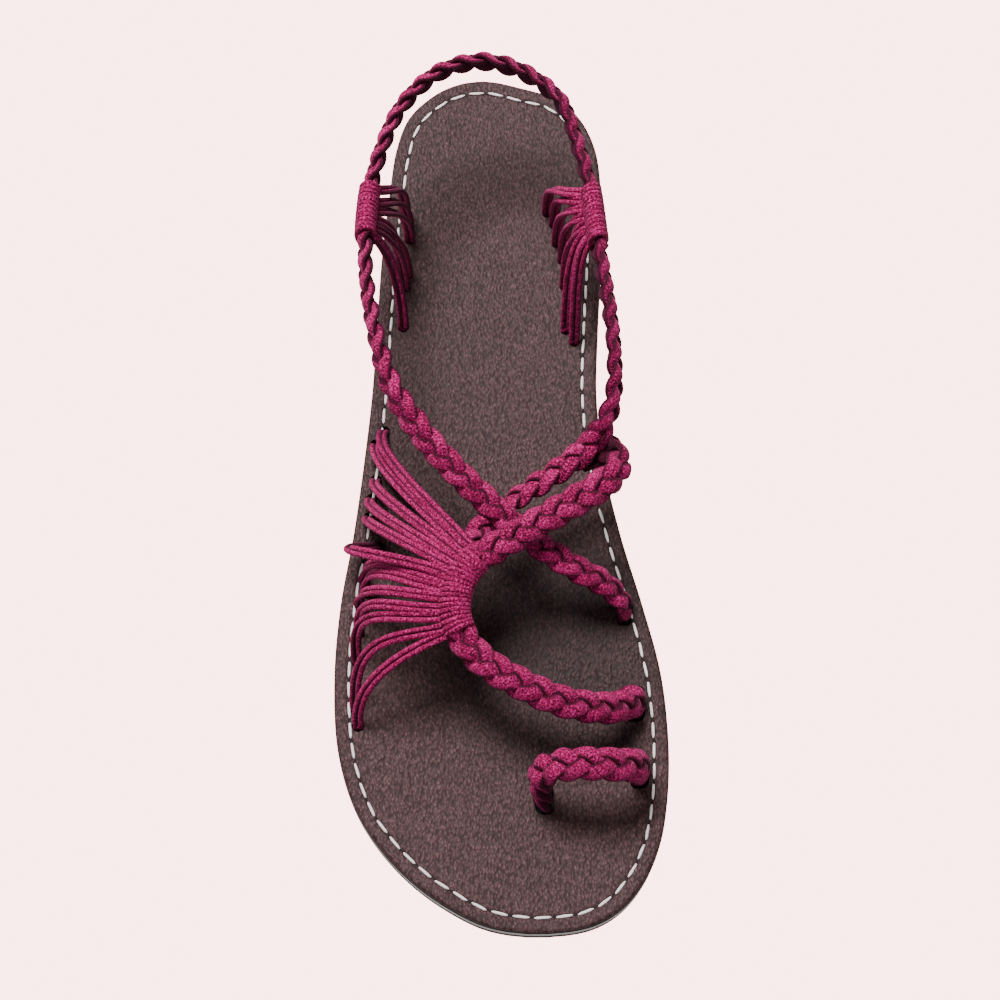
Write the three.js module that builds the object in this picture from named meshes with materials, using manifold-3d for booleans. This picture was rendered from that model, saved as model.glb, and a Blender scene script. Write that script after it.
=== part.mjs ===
// Beach sandal for the right foot: a flat layered sole with an upper of braided cord.
// Millimetres, +Z up. The origin is on the floor under the middle of the heel, the toe
// points along -Y, and +X is the inner side, where the big toe is.

import * as THREE from 'three';
import { mergeVertices } from 'three/addons/utils/BufferGeometryUtils.js';
import Module from 'manifold-3d';

const wasm = await Module();
wasm.setup();

// Sole sizes
const SOLE_LENGTH = 250;
const HEEL_OVERHANG = 32.5; // from the origin back to the rear of the heel
const HEEL_WIDTH = 62;
const WAIST_WIDTH = 64;
const BALL_WIDTH = 90;
const OUTSOLE_THICKNESS = 3.4;
const MIDSOLE_THICKNESS = 2.6;
const HEEL_WEDGE = 2.0; // extra midsole under the heel
const FOOTBED_THICKNESS = 2.4;
const FOOTBED_DISH = 0.9; // rim above the middle line
const ARCH_LIFT = 1.5;
const TOE_SPRING = 5.0;
const LAYER_GAP = 0.3;
const OUTSOLE_BEVEL = 0.9;
const MIDSOLE_INSET = 0.5;
const RIM_RADIUS = 1.1;

// Tread sizes
const GROOVE_WIDTH = 2.4;
const GROOVE_DEPTH = 1.2;
const GROOVE_PITCH = 9.0;
const HEEL_GROOVES = 4;
const FOREFOOT_GROOVES = 6;
const GROOVE_SPAN = 0.66; // share of the local width
const FOREFOOT_GROOVE_CENTRE = 0.72; // share of the length from the rear

// Upper sizes
const BRAID_WIDTH = 9.5;
const BRAID_THICKNESS = 4.8;
const HEEL_STRAP_WIDTH = 8.4;
const HEEL_STRAP_THICKNESS = 3.8;
const TOE_LOOP_WIDTH = 9.8;
const TOE_LOOP_THICKNESS = 4.8;
const LOBE_PITCH = 6.3; // one strand edge to the next along one side of a braid
const CORD_DIAMETER = 2.6;
const BINDING_WIDTH = 8.4;
const BINDING_THICKNESS = 6.6;
const WINDING_PITCH = 2.2;
const WINDING_WALL = 0.9;
const RIDGE_DEPTH = 0.4;
const STRAP_RISE = 36; // reference height of the straps above the footbed
const TOE_LOOP_RISE = 20;
const SLOT_CLEARANCE = 0.35;
const CUT_OVERRUN = 1; // how far a cut runs past the face that it leaves

// Sole outline: along is a share of the length from the rear, and lateral and medial
// are shares of half the width that the row names.
const OUTLINE = [
  { along: 0.0, of: HEEL_WIDTH, lateral: 0.14, medial: -0.14 },
  { along: 0.009, of: HEEL_WIDTH, lateral: 0.44, medial: 0.22 },
  { along: 0.025, of: HEEL_WIDTH, lateral: 0.64, medial: 0.58 },
  { along: 0.05, of: HEEL_WIDTH, lateral: 0.82, medial: 0.79 },
  { along: 0.09, of: HEEL_WIDTH, lateral: 0.93, medial: 0.93 },
  { along: 0.15, of: HEEL_WIDTH, lateral: 0.99, medial: 0.98 },
  { along: 0.23, of: HEEL_WIDTH, lateral: 1.05, medial: 0.97 },
  { along: 0.32, of: WAIST_WIDTH, lateral: 1.05, medial: 0.9 },
  { along: 0.4, of: WAIST_WIDTH, lateral: 1.08, medial: 0.88 },
  { along: 0.48, of: WAIST_WIDTH, lateral: 1.14, medial: 0.935 },
  { along: 0.56, of: BALL_WIDTH, lateral: 0.865, medial: 0.76 },
  { along: 0.64, of: BALL_WIDTH, lateral: 0.935, medial: 0.885 },
  { along: 0.72, of: BALL_WIDTH, lateral: 0.963, medial: 0.99 },
  { along: 0.8, of: BALL_WIDTH, lateral: 0.935, medial: 1.025 },
  { along: 0.86, of: BALL_WIDTH, lateral: 0.838, medial: 1.007 },
  { along: 0.905, of: BALL_WIDTH, lateral: 0.69, medial: 0.958 },
  { along: 0.945, of: BALL_WIDTH, lateral: 0.485, medial: 0.86 },
  { along: 0.975, of: BALL_WIDTH, lateral: 0.255, medial: 0.722 },
  { along: 0.993, of: BALL_WIDTH, lateral: 0.045, medial: 0.545 },
  { along: 1.0, of: BALL_WIDTH, lateral: -0.22, medial: 0.22 },
];

// Height profile of the sole: lift and spring raise the whole stack, wedge thickens it.
const PROFILE = [
  { along: 0.0, lift: 0, spring: 0.06, wedge: 1 },
  { along: 0.04, lift: 0, spring: 0, wedge: 1 },
  { along: 0.28, lift: 0, spring: 0, wedge: 0.95 },
  { along: 0.36, lift: 0.6, spring: 0, wedge: 0.75 },
  { along: 0.43, lift: 1, spring: 0, wedge: 0.5 },
  { along: 0.51, lift: 0.6, spring: 0, wedge: 0.22 },
  { along: 0.59, lift: 0, spring: 0, wedge: 0.04 },
  { along: 0.66, lift: 0, spring: 0, wedge: 0 },
  { along: 0.8, lift: 0, spring: 0, wedge: 0 },
  { along: 0.86, lift: 0, spring: 0.14, wedge: 0 },
  { along: 0.93, lift: 0, spring: 0.48, wedge: 0 },
  { along: 1.0, lift: 0, spring: 1, wedge: 0 },
];

// Strap routes: along and across place a point on the sole, across running from -1 at
// the outer edge to 1 at the inner edge. above is a share of the strap's rise. roll
// turns the flat face: 0 faces up, 90 faces away from the foot, 180 faces down.
const FOREFOOT_ROUTE = [
  { along: 0.752, across: 0.815, above: 0.0, roll: 90 },
  { along: 0.754, across: 0.81, above: 0.12, roll: 88 },
  { along: 0.766, across: 0.7, above: 0.28, roll: 40 },
  { along: 0.771, across: 0.53, above: 0.42, roll: 12 },
  { along: 0.766, across: 0.33, above: 0.5, roll: 4 },
  { along: 0.752, across: 0.13, above: 0.57, roll: 0 },
  { along: 0.734, across: -0.05, above: 0.61, roll: 0 },
  { along: 0.711, across: -0.18, above: 0.64, roll: 0 },
  { along: 0.683, across: -0.24, above: 0.67, roll: 0 },
  { along: 0.651, across: -0.21, above: 0.7, roll: 0 },
  { along: 0.625, across: -0.1, above: 0.73, roll: 0 },
  { along: 0.604, across: 0.12, above: 0.76, roll: 0 },
  { along: 0.584, across: 0.37, above: 0.79, roll: 0 },
  { along: 0.563, across: 0.64, above: 0.81, roll: 0 },
  { along: 0.546, across: 0.86, above: 0.82, roll: 15 },
  { along: 0.53, across: 1.0, above: 0.79, roll: 50 },
  { along: 0.511, across: 1.05, above: 0.7, roll: 85 },
  { along: 0.498, across: 1.0, above: 0.61, roll: 125 },
  { along: 0.499, across: 0.88, above: 0.55, roll: 160 },
  { along: 0.506, across: 0.78, above: 0.52, roll: 180 },
];
const HEEL_STRAP_ROUTE = [
  { along: 0.647, across: 0.87, above: 0.0, roll: 90 },
  { along: 0.645, across: 0.865, above: 0.12, roll: 88 },
  { along: 0.633, across: 0.77, above: 0.32, roll: 45 },
  { along: 0.621, across: 0.57, above: 0.48, roll: 15 },
  { along: 0.594, across: 0.3, above: 0.58, roll: 0 },
  { along: 0.564, across: 0.07, above: 0.65, roll: 0 },
  { along: 0.527, across: -0.22, above: 0.75, roll: 10 },
  { along: 0.487, across: -0.51, above: 0.83, roll: 30 },
  { along: 0.443, across: -0.76, above: 0.88, roll: 55 },
  { along: 0.385, across: -0.93, above: 0.93, roll: 78 },
  { along: 0.307, across: -1.05, above: 0.93, roll: 90 },
  { along: 0.223, across: -1.07, above: 0.92, roll: 90 },
  { along: 0.165, across: -1.01, above: 0.96, roll: 88 },
  { along: 0.114, across: -0.86, above: 1.02, roll: 84 },
  { along: 0.077, across: -0.57, above: 1.07, roll: 80 },
  { along: 0.064, across: -0.13, above: 1.1, roll: 80 },
  { along: 0.076, across: 0.29, above: 1.07, roll: 80 },
  { along: 0.108, across: 0.6, above: 1.02, roll: 84 },
  { along: 0.153, across: 0.73, above: 0.96, roll: 88 },
  { along: 0.205, across: 0.85, above: 0.92, roll: 90 },
  { along: 0.277, across: 0.95, above: 0.92, roll: 90 },
  { along: 0.355, across: 1.07, above: 0.92, roll: 90 },
  { along: 0.406, across: 1.11, above: 0.89, roll: 85 },
  { along: 0.449, across: 1.08, above: 0.84, roll: 75 },
  { along: 0.481, across: 0.97, above: 0.76, roll: 50 },
  { along: 0.5, across: 0.79, above: 0.66, roll: 5 },
  { along: 0.523, across: 0.5, above: 0.58, roll: -50 },
  { along: 0.545, across: 0.23, above: 0.53, roll: -60 },
  { along: 0.58, across: -0.02, above: 0.58, roll: -30 },
  { along: 0.61, across: -0.12, above: 0.68, roll: 0 },
];
const TOE_LOOP_ROUTE = [
  { along: 0.825, across: 0.815, above: 0.0, roll: 90 },
  { along: 0.827, across: 0.815, above: 0.3, roll: 86 },
  { along: 0.834, across: 0.77, above: 0.74, roll: 45 },
  { along: 0.837, across: 0.62, above: 0.98, roll: 6 },
  { along: 0.837, across: 0.46, above: 1.02, roll: -6 },
  { along: 0.838, across: 0.3, above: 0.95, roll: -25 },
  { along: 0.841, across: 0.2, above: 0.72, roll: -45 },
  { along: 0.847, across: 0.19, above: 0.38, roll: -50 },
  { along: 0.853, across: 0.22, above: 0.0, roll: -50 },
];

// The bound stretch and the side windings, as shares of the strap that they wrap
const BINDING = { from: 0.42, to: 0.575 };
const OUTER_WINDING = { from: 0.363, to: 0.405 };
const INNER_WINDING = { from: 0.678, to: 0.724 };

// Loose cords. along and across place the hole, and knot is the place along the bound
// stretch. rise, lean and back are how far up, outwards and heelwards the cord heads from
// its hole, and reach is how far it runs straight out of the strap, in millimetres.
const EDGE_CORDS = [
  { along: 0.443, across: -0.86, knot: 0.98, rise: 9, lean: -4, back: -9, reach: 12 },
  { along: 0.459, across: -0.92, knot: 0.92, rise: 8, lean: -1, back: -9, reach: 13 },
  { along: 0.5, across: -0.88, knot: 0.85, rise: 9, lean: -3, back: -5, reach: 13 },
  { along: 0.522, across: -0.9, knot: 0.78, rise: 9, lean: -3, back: -5, reach: 13 },
  { along: 0.543, across: -0.9, knot: 0.71, rise: 10, lean: -3, back: -4, reach: 13 },
  { along: 0.576, across: -0.8, knot: 0.64, rise: 15, lean: 21, back: -5, reach: 14 },
  { along: 0.612, across: -0.87, knot: 0.57, rise: 12, lean: 0, back: 4, reach: 14 },
  { along: 0.628, across: -0.84, knot: 0.48, rise: 16, lean: 1, back: 5, reach: 12 },
  { along: 0.643, across: -0.87, knot: 0.4, rise: 13, lean: 1, back: 3, reach: 14 },
  { along: 0.673, across: -0.86, knot: 0.29, rise: 18, lean: 0, back: 7, reach: 16 },
  { along: 0.706, across: -0.86, knot: 0.22, rise: 17, lean: 2, back: 13, reach: 16 },
  { along: 0.758, across: -0.87, knot: 0.11, rise: 20, lean: 1, back: 17, reach: 12 },
  { along: 0.777, across: -0.86, knot: 0.05, rise: 15, lean: -1, back: 9, reach: 12 },
];
const OUTER_HEEL_CORDS = [
  { along: 0.176, across: -0.82, knot: 0.95, rise: 24, lean: 0, back: 0, reach: 7 },
  { along: 0.19, across: -0.78, knot: 0.7, rise: 22, lean: 0, back: 0, reach: 6 },
  { along: 0.206, across: -0.76, knot: 0.54, rise: 20, lean: 0, back: 0, reach: 6 },
  { along: 0.25, across: -0.75, knot: 0.38, rise: 20, lean: 0, back: 0, reach: 6 },
  { along: 0.266, across: -0.77, knot: 0.22, rise: 18, lean: 0, back: 2, reach: 6 },
  { along: 0.316, across: -0.76, knot: 0.06, rise: 16, lean: 0, back: 8, reach: 4 },
];
const INNER_HEEL_CORDS = [
  { along: 0.171, across: 0.49, knot: 0.08, rise: 23, lean: 0, back: 0, reach: 10 },
  { along: 0.186, across: 0.56, knot: 0.22, rise: 22, lean: 0, back: 0, reach: 9 },
  { along: 0.21, across: 0.59, knot: 0.36, rise: 20, lean: 0, back: 0, reach: 8 },
  { along: 0.232, across: 0.65, knot: 0.5, rise: 19, lean: 0, back: 0, reach: 7 },
  { along: 0.264, across: 0.68, knot: 0.64, rise: 18, lean: 0, back: 2, reach: 6 },
  { along: 0.319, across: 0.71, knot: 0.78, rise: 16, lean: 0, back: 6, reach: 6 },
  { along: 0.334, across: 0.79, knot: 0.92, rise: 16, lean: 0, back: 6, reach: 5 },
];

// Mesh fineness
const SOLE_ROWS = 35;
const SOLE_RINGS = [1, 0.55]; // shares of the way from the rim to the middle line
const MIDDLE_LINE = { from: 0.12, to: 0.86 };
const BRAID_SIDES = 8;
const CORD_SIDES = 5;
const CORD_STEPS = 6;
const HOLE_STEPS = 2; // of the cord's own steps
const STEPS_PER_LOBE = 2.6;
const CURVE_DIVISIONS = 600;

// Materials
function plain(color, roughness) {
  return new THREE.MeshStandardMaterial({ color, roughness, metalness: 0 });
}
const RUBBER = plain(0x2b2625, 0.8);
const FOAM = plain(0xb9b3ad, 0.85);
const LEATHER = plain(0x54433f, 0.55);
const CORD = plain(0xa82a5e, 0.85);

// Sole outline as two edges, found at any distance from the rear
const toY = (along) => HEEL_OVERHANG - along * SOLE_LENGTH;
const toAlong = (y) => (HEEL_OVERHANG - y) / SOLE_LENGTH;

function soleEdges() {
  const inner = OUTLINE.map((row) => new THREE.Vector3((row.medial * row.of) / 2, toY(row.along), 0));
  const outer = OUTLINE.map((row) => new THREE.Vector3((-row.lateral * row.of) / 2, toY(row.along), 0));
  const loop = [...inner, ...outer.slice(1, -1).reverse()];
  const points = new THREE.CatmullRomCurve3(loop, true, 'centripetal').getPoints(CURVE_DIVISIONS);
  const toe = points.reduce((best, point, i) => (point.y < points[best].y ? i : best), 0);
  return { inner: points.slice(0, toe + 1), outer: points.slice(toe).reverse() };
}
const { inner: INNER_EDGE, outer: OUTER_EDGE } = soleEdges();

function edgeAt(edge, y) {
  for (let i = 1; i < edge.length; i += 1) {
    if (edge[i].y <= y) {
      const span = edge[i - 1].y - edge[i].y;
      const share = span > 0 ? (edge[i - 1].y - y) / span : 0;
      return THREE.MathUtils.lerp(edge[i - 1].x, edge[i].x, THREE.MathUtils.clamp(share, 0, 1));
    }
  }
  return edge[edge.length - 1].x;
}

// Heights of the sole's layers
function profileAt(column, y) {
  const along = THREE.MathUtils.clamp(toAlong(y), 0, 1);
  const after = Math.max(1, PROFILE.findIndex((row) => row.along >= along));
  const a = PROFILE[after - 1];
  const b = PROFILE[after];
  const share = THREE.MathUtils.smoothstep(along, a.along, b.along);
  const even = (along - a.along) / (b.along - a.along);
  return THREE.MathUtils.lerp(a[column], b[column], column === 'spring' ? even : share);
}
function dishAt(x, y) {
  const outer = edgeAt(OUTER_EDGE, y);
  const inner = edgeAt(INNER_EDGE, y);
  const half = Math.max((inner - outer) / 2, 1);
  const share = THREE.MathUtils.clamp((x - (outer + inner) / 2) / half, -1, 1);
  return FOOTBED_DISH * share * share;
}
const underside = (x, y) => ARCH_LIFT * profileAt('lift', y) + TOE_SPRING * profileAt('spring', y);
const outsoleTop = (x, y) => underside(x, y) + OUTSOLE_THICKNESS;
const midsoleBottom = (x, y) => outsoleTop(x, y) + LAYER_GAP;
const midsoleTop = (x, y) => (
  midsoleBottom(x, y) + MIDSOLE_THICKNESS + HEEL_WEDGE * profileAt('wedge', y) + dishAt(x, y)
);
const footbedBottom = (x, y) => midsoleTop(x, y) + LAYER_GAP;
const footbedTop = (x, y) => footbedBottom(x, y) + FOOTBED_THICKNESS;

// One closed mesh from rings of equally many points, each ring given as an array
function skinRings(rings) {
  const count = rings[0].length;
  const positions = rings.flat().flatMap((point) => [point.x, point.y, point.z]);
  const index = [];
  for (let ring = 0; ring < rings.length - 1; ring += 1) {
    for (let i = 0; i < count; i += 1) {
      const a = ring * count + i;
      const b = ring * count + ((i + 1) % count);
      index.push(a, b, b + count, a, b + count, a + count);
    }
  }
  return closedGeometry(positions, index);
}

// Shared corners merged, and triangles that have no area left out
function closedGeometry(positions, index) {
  const raw = new THREE.BufferGeometry();
  raw.setAttribute('position', new THREE.Float32BufferAttribute(positions, 3));
  raw.setIndex(index);
  const merged = mergeVertices(raw, 1e-4);
  const kept = [];
  const old = merged.index.array;
  for (let i = 0; i < old.length; i += 3) {
    const corners = [old[i], old[i + 1], old[i + 2]];
    if (new Set(corners).size === 3) kept.push(...corners);
  }
  merged.setIndex(kept);
  return merged;
}

function toSolid(geometry) {
  return new wasm.Manifold(new wasm.Mesh({
    numProp: 3,
    vertProperties: new Float32Array(geometry.attributes.position.array),
    triVerts: new Uint32Array(geometry.index.array),
  }));
}

function toGeometry(solid) {
  const mesh = solid.getMesh();
  const geometry = new THREE.BufferGeometry();
  geometry.setAttribute('position', new THREE.BufferAttribute(mesh.vertProperties, 3));
  geometry.setIndex(new THREE.BufferAttribute(mesh.triVerts, 1));
  geometry.computeVertexNormals();
  return geometry;
}

// Points round the sole, each with the place on the middle line that it faces
function soleRim() {
  const ends = 0.0008;
  const outer = [];
  const inner = [];
  for (let i = 0; i <= SOLE_ROWS; i += 1) {
    const turn = (Math.PI * i) / SOLE_ROWS;
    const along = THREE.MathUtils.lerp((1 - Math.cos(turn)) / 2, i / SOLE_ROWS, 0.25);
    const y = toY(ends + along * (1 - 2 * ends));
    const middleY = THREE.MathUtils.clamp(y, toY(MIDDLE_LINE.to), toY(MIDDLE_LINE.from));
    const middleX = (edgeAt(OUTER_EDGE, middleY) + edgeAt(INNER_EDGE, middleY)) / 2;
    const facing = new THREE.Vector2(middleX, middleY);
    outer.push({ rim: new THREE.Vector2(edgeAt(OUTER_EDGE, y), y), facing });
    inner.push({ rim: new THREE.Vector2(edgeAt(INNER_EDGE, y), y), facing });
  }
  return [...inner.reverse(), ...outer];
}
const RIM = soleRim();

function soleRing(inset, share, height, raise = 0) {
  return RIM.map(({ rim, facing }) => {
    const edge = rim.clone().add(facing.clone().sub(rim).setLength(inset));
    const place = edge.lerp(facing, share);
    return new THREE.Vector3(place.x, place.y, height(place.x, place.y) + raise);
  });
}

// A sole layer: bottom from the middle line out, the side steps, then the top back in
function soleLayer(bottom, top, side) {
  const first = side[0];
  const last = side[side.length - 1];
  return skinRings([
    ...SOLE_RINGS.map((share) => soleRing(first.inset, share, bottom)),
    ...side.map((step) => soleRing(step.inset, 0, step.upper ? top : bottom, step.raise)),
    ...[...SOLE_RINGS].reverse().map((share) => soleRing(last.inset, share, top)),
  ]);
}

// Cross grooves in the tread, spaced evenly about one place along the sole
function grooves(centreY, count) {
  return Array.from({ length: count }, (_, i) => {
    const y = centreY + (i - (count - 1) / 2) * GROOVE_PITCH;
    const outer = edgeAt(OUTER_EDGE, y);
    const inner = edgeAt(INNER_EDGE, y);
    const middle = (outer + inner) / 2;
    const box = new THREE.BoxGeometry((inner - outer) * GROOVE_SPAN, GROOVE_WIDTH, 2 * GROOVE_DEPTH);
    box.translate(middle, y, underside(middle, y));
    return toSolid(closedGeometry([...box.attributes.position.array], [...box.index.array]));
  });
}

function makeOutsole() {
  const body = toSolid(soleLayer(underside, outsoleTop, [
    { inset: OUTSOLE_BEVEL, upper: false, raise: 0 },
    { inset: 0, upper: false, raise: OUTSOLE_BEVEL },
    { inset: 0, upper: true, raise: 0 },
  ]));
  return [...grooves(0, HEEL_GROOVES), ...grooves(toY(FOREFOOT_GROOVE_CENTRE), FOREFOOT_GROOVES)]
    .reduce((solid, groove) => solid.subtract(groove), body);
}

function makeMidsole() {
  return toSolid(soleLayer(midsoleBottom, midsoleTop, [
    { inset: MIDSOLE_INSET, upper: false, raise: 0 },
    { inset: MIDSOLE_INSET, upper: true, raise: 0 },
  ]));
}

function makeFootbed(cutters) {
  const body = toSolid(soleLayer(footbedBottom, footbedTop, [
    { inset: 0, upper: false, raise: 0 },
    { inset: 0, upper: true, raise: -RIM_RADIUS },
    { inset: RIM_RADIUS * (1 - Math.SQRT1_2), upper: true, raise: -RIM_RADIUS * (1 - Math.SQRT1_2) },
    { inset: RIM_RADIUS, upper: true, raise: 0 },
  ]));
  return cutters.reduce((solid, cutter) => solid.subtract(cutter), body);
}

// A place over the sole, found from the local edges
function onFoot(along, across, above) {
  const y = toY(along);
  const x = THREE.MathUtils.lerp(edgeAt(OUTER_EDGE, y), edgeAt(INNER_EDGE, y), (across + 1) / 2);
  return new THREE.Vector3(x, y, footbedTop(x, y) + above);
}

// The direction away from the foot: sideways along the shoe, radial round the heel
function awayFromFoot(point) {
  const back = Math.max(point.y, 0);
  return new THREE.Vector3(point.x < 0 ? Math.min(point.x, -0.01) : Math.max(point.x, 0.01), back, 0)
    .normalize();
}

// A strap's route as a curve with a flat face that rolls along it
function strapPath(route, rise) {
  const places = route.map((row) => onFoot(row.along, row.across, row.above * rise));
  const rolls = route.map((row) => THREE.MathUtils.degToRad(row.roll));
  const curve = new THREE.CatmullRomCurve3(places, false, 'centripetal');
  curve.arcLengthDivisions = CURVE_DIVISIONS;
  return {
    length: curve.getLength(),
    frameAt(share) {
      const t = curve.getUtoTmapping(share);
      const origin = curve.getPoint(t);
      const tangent = curve.getTangent(t);
      const spot = t * (places.length - 1);
      const row = Math.min(Math.floor(spot), places.length - 2);
      const roll = THREE.MathUtils.lerp(rolls[row], rolls[row + 1], spot - row);
      const face = new THREE.Vector3(0, 0, Math.cos(roll))
        .addScaledVector(awayFromFoot(origin), Math.sin(roll));
      face.addScaledVector(tangent, -face.dot(tangent)).normalize();
      return { origin, tangent, face, side: new THREE.Vector3().crossVectors(face, tangent) };
    },
  };
}

// A cord's route: up out of its hole, over, and into the strap that holds it
function cordPath(row, knot, direction) {
  const hole = onFoot(row.along, row.across, 0);
  const heading = new THREE.Vector3(Math.sign(row.across) * row.lean, row.back, row.rise);
  const entry = knot.clone().addScaledVector(direction, row.reach);
  const curve = new THREE.CubicBezierCurve3(hole, hole.clone().add(heading), entry, knot);
  const frames = curve.computeFrenetFrames(CORD_STEPS);
  return {
    length: curve.getLength(),
    frameAt(share) {
      const step = Math.round(share * CORD_STEPS);
      return {
        origin: curve.getPointAt(share),
        tangent: frames.tangents[step],
        face: frames.binormals[step],
        side: frames.normals[step],
      };
    },
  };
}

// A solid swept along part of a path, closed by a point in the middle of each end.
// A start or end depth, above the footbed's underside, carries that end straight down.
function sweep(path, { from = 0, to = 1, steps, section, startDepth, endDepth }) {
  const rings = [];
  for (let i = 0; i <= steps; i += 1) {
    const share = THREE.MathUtils.lerp(from, to, i / steps);
    const { origin, side, face } = path.frameAt(share);
    rings.push(section((share - from) * path.length).map(([across, up]) => (
      origin.clone().addScaledVector(side, across).addScaledVector(face, up)
    )));
  }
  const sunk = (ring, share, depth) => {
    const { origin } = path.frameAt(share);
    const level = footbedBottom(origin.x, origin.y) + depth;
    return ring.map((point) => point.clone().setZ(level));
  };
  if (startDepth !== undefined) rings.unshift(sunk(rings[0], from, startDepth));
  if (endDepth !== undefined) rings.push(sunk(rings[rings.length - 1], to, endDepth));
  const middle = (ring) => {
    const centre = ring.reduce((sum, point) => sum.add(point), new THREE.Vector3());
    centre.divideScalar(ring.length);
    return ring.map(() => centre);
  };
  return toSolid(skinRings([middle(rings[0]), ...rings, middle(rings[rings.length - 1])]));
}

const sectionAngles = (sides) => Array.from({ length: sides }, (_, i) => (2 * Math.PI * i) / sides);

// A braid of three strands as one wall: at each angle it reaches out to the outermost
// strand there, or to the core
function braidSection(width, thickness) {
  const strands = [0, 1, 2].map((i) => (2 * Math.PI * i) / 3);
  const strandWidth = 0.5 * width;
  const strandThickness = 0.66 * thickness;
  const sway = (width - strandWidth) / 2;
  const weave = (thickness - strandThickness) / 2;
  const core = { width: 0.6 * width, thickness: 0.74 * thickness };
  const reach = (dx, dy, cx, cy, ellipseWidth, ellipseThickness) => {
    const px = dx / (ellipseWidth / 2);
    const py = dy / (ellipseThickness / 2);
    const qx = cx / (ellipseWidth / 2);
    const qy = cy / (ellipseThickness / 2);
    const a = px * px + py * py;
    const b = px * qx + py * qy;
    const inside = b * b - a * (qx * qx + qy * qy - 1);
    return inside < 0 ? 0 : (b + Math.sqrt(inside)) / a;
  };
  return (distance) => {
    const turn = (2 * Math.PI * distance) / (strands.length * LOBE_PITCH);
    return sectionAngles(BRAID_SIDES).map((angle) => {
      const dx = Math.cos(angle) * width;
      const dy = Math.sin(angle) * thickness;
      const reaches = strands.map((offset) => (
        reach(dx, dy, sway * Math.sin(turn + offset), weave * Math.sin(2 * (turn + offset)),
          strandWidth, strandThickness)
      ));
      const share = Math.max(reach(dx, dy, 0, 0, core.width, core.thickness), ...reaches);
      return [dx * share, dy * share];
    });
  };
}

// A slot for a strap, an oval with squarer corners
function slotSection(width, thickness) {
  const grown = { width: width / 2 + SLOT_CLEARANCE, thickness: thickness / 2 + SLOT_CLEARANCE };
  return () => sectionAngles(BRAID_SIDES).map((angle) => [
    Math.sign(Math.cos(angle)) * Math.sqrt(Math.abs(Math.cos(angle))) * grown.width,
    Math.sign(Math.sin(angle)) * Math.sqrt(Math.abs(Math.sin(angle))) * grown.thickness,
  ]);
}

// A tight winding, with one ridge for each turn of the cord
function windingSection(width, thickness) {
  return (distance) => {
    const dip = RIDGE_DEPTH * (0.5 + 0.5 * Math.cos((2 * Math.PI * distance) / WINDING_PITCH));
    return sectionAngles(BRAID_SIDES).map((angle) => [
      Math.cos(angle) * (width / 2 - dip),
      Math.sin(angle) * (thickness / 2 - dip),
    ]);
  };
}

function roundSection(diameter) {
  return () => sectionAngles(CORD_SIDES).map((angle) => [
    (Math.cos(angle) * diameter) / 2,
    (Math.sin(angle) * diameter) / 2,
  ]);
}

function braid(path, width, thickness, span = {}) {
  const { from = 0, to = 1 } = span;
  const steps = Math.round(((to - from) * path.length * STEPS_PER_LOBE) / LOBE_PITCH);
  return sweep(path, { steps, section: braidSection(width, thickness), ...span });
}

function winding(path, { from, to }, width, thickness) {
  const steps = Math.round(((to - from) * path.length * 2) / WINDING_PITCH);
  return sweep(path, { from, to, steps, section: windingSection(width, thickness) });
}

const sideWinding = (stretch) => winding(heelStrap, stretch,
  HEEL_STRAP_WIDTH + 2 * WINDING_WALL, HEEL_STRAP_THICKNESS + 2 * WINDING_WALL);

function strapSlot(path, width, thickness, atEnd = false) {
  const depth = (2 * FOOTBED_THICKNESS) / path.length;
  const span = atEnd
    ? { from: 1 - depth, to: 1, endDepth: -CUT_OVERRUN }
    : { from: 0, to: depth, startDepth: -CUT_OVERRUN };
  return sweep(path, { ...span, steps: 2, section: slotSection(width, thickness) });
}

function cordHole(path) {
  return sweep(path, {
    to: HOLE_STEPS / CORD_STEPS,
    steps: HOLE_STEPS,
    startDepth: -CUT_OVERRUN,
    section: roundSection(CORD_DIAMETER + 2 * SLOT_CLEARANCE),
  });
}

function cord(path) {
  const section = roundSection(CORD_DIAMETER);
  return sweep(path, { steps: CORD_STEPS, startDepth: SLOT_CLEARANCE, section });
}

// Cords that leave a wrapped stretch of a strap, each found by its place along the stretch
function cordsFrom(rows, path, stretch, entry) {
  return rows.map((row) => {
    const frame = path.frameAt(THREE.MathUtils.lerp(stretch.from, stretch.to, row.knot));
    const { place, direction } = entry(frame);
    return cordPath(row, place, direction);
  });
}

const forefoot = strapPath(FOREFOOT_ROUTE, STRAP_RISE);
const heelStrap = strapPath(HEEL_STRAP_ROUTE, STRAP_RISE);
const toeLoop = strapPath(TOE_LOOP_ROUTE, TOE_LOOP_RISE);

const fromBinding = ({ origin, side }) => ({
  place: origin.clone().addScaledVector(side, BINDING_WIDTH / 4),
  direction: side,
});
const fromWinding = ({ origin, face }) => ({
  place: origin.clone().addScaledVector(face, -HEEL_STRAP_THICKNESS / 4),
  direction: face.clone().negate(),
});
const cords = [
  ...cordsFrom(EDGE_CORDS, forefoot, BINDING, fromBinding),
  ...cordsFrom(OUTER_HEEL_CORDS, heelStrap, OUTER_WINDING, fromWinding),
  ...cordsFrom(INNER_HEEL_CORDS, heelStrap, INNER_WINDING, fromWinding),
];

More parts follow.
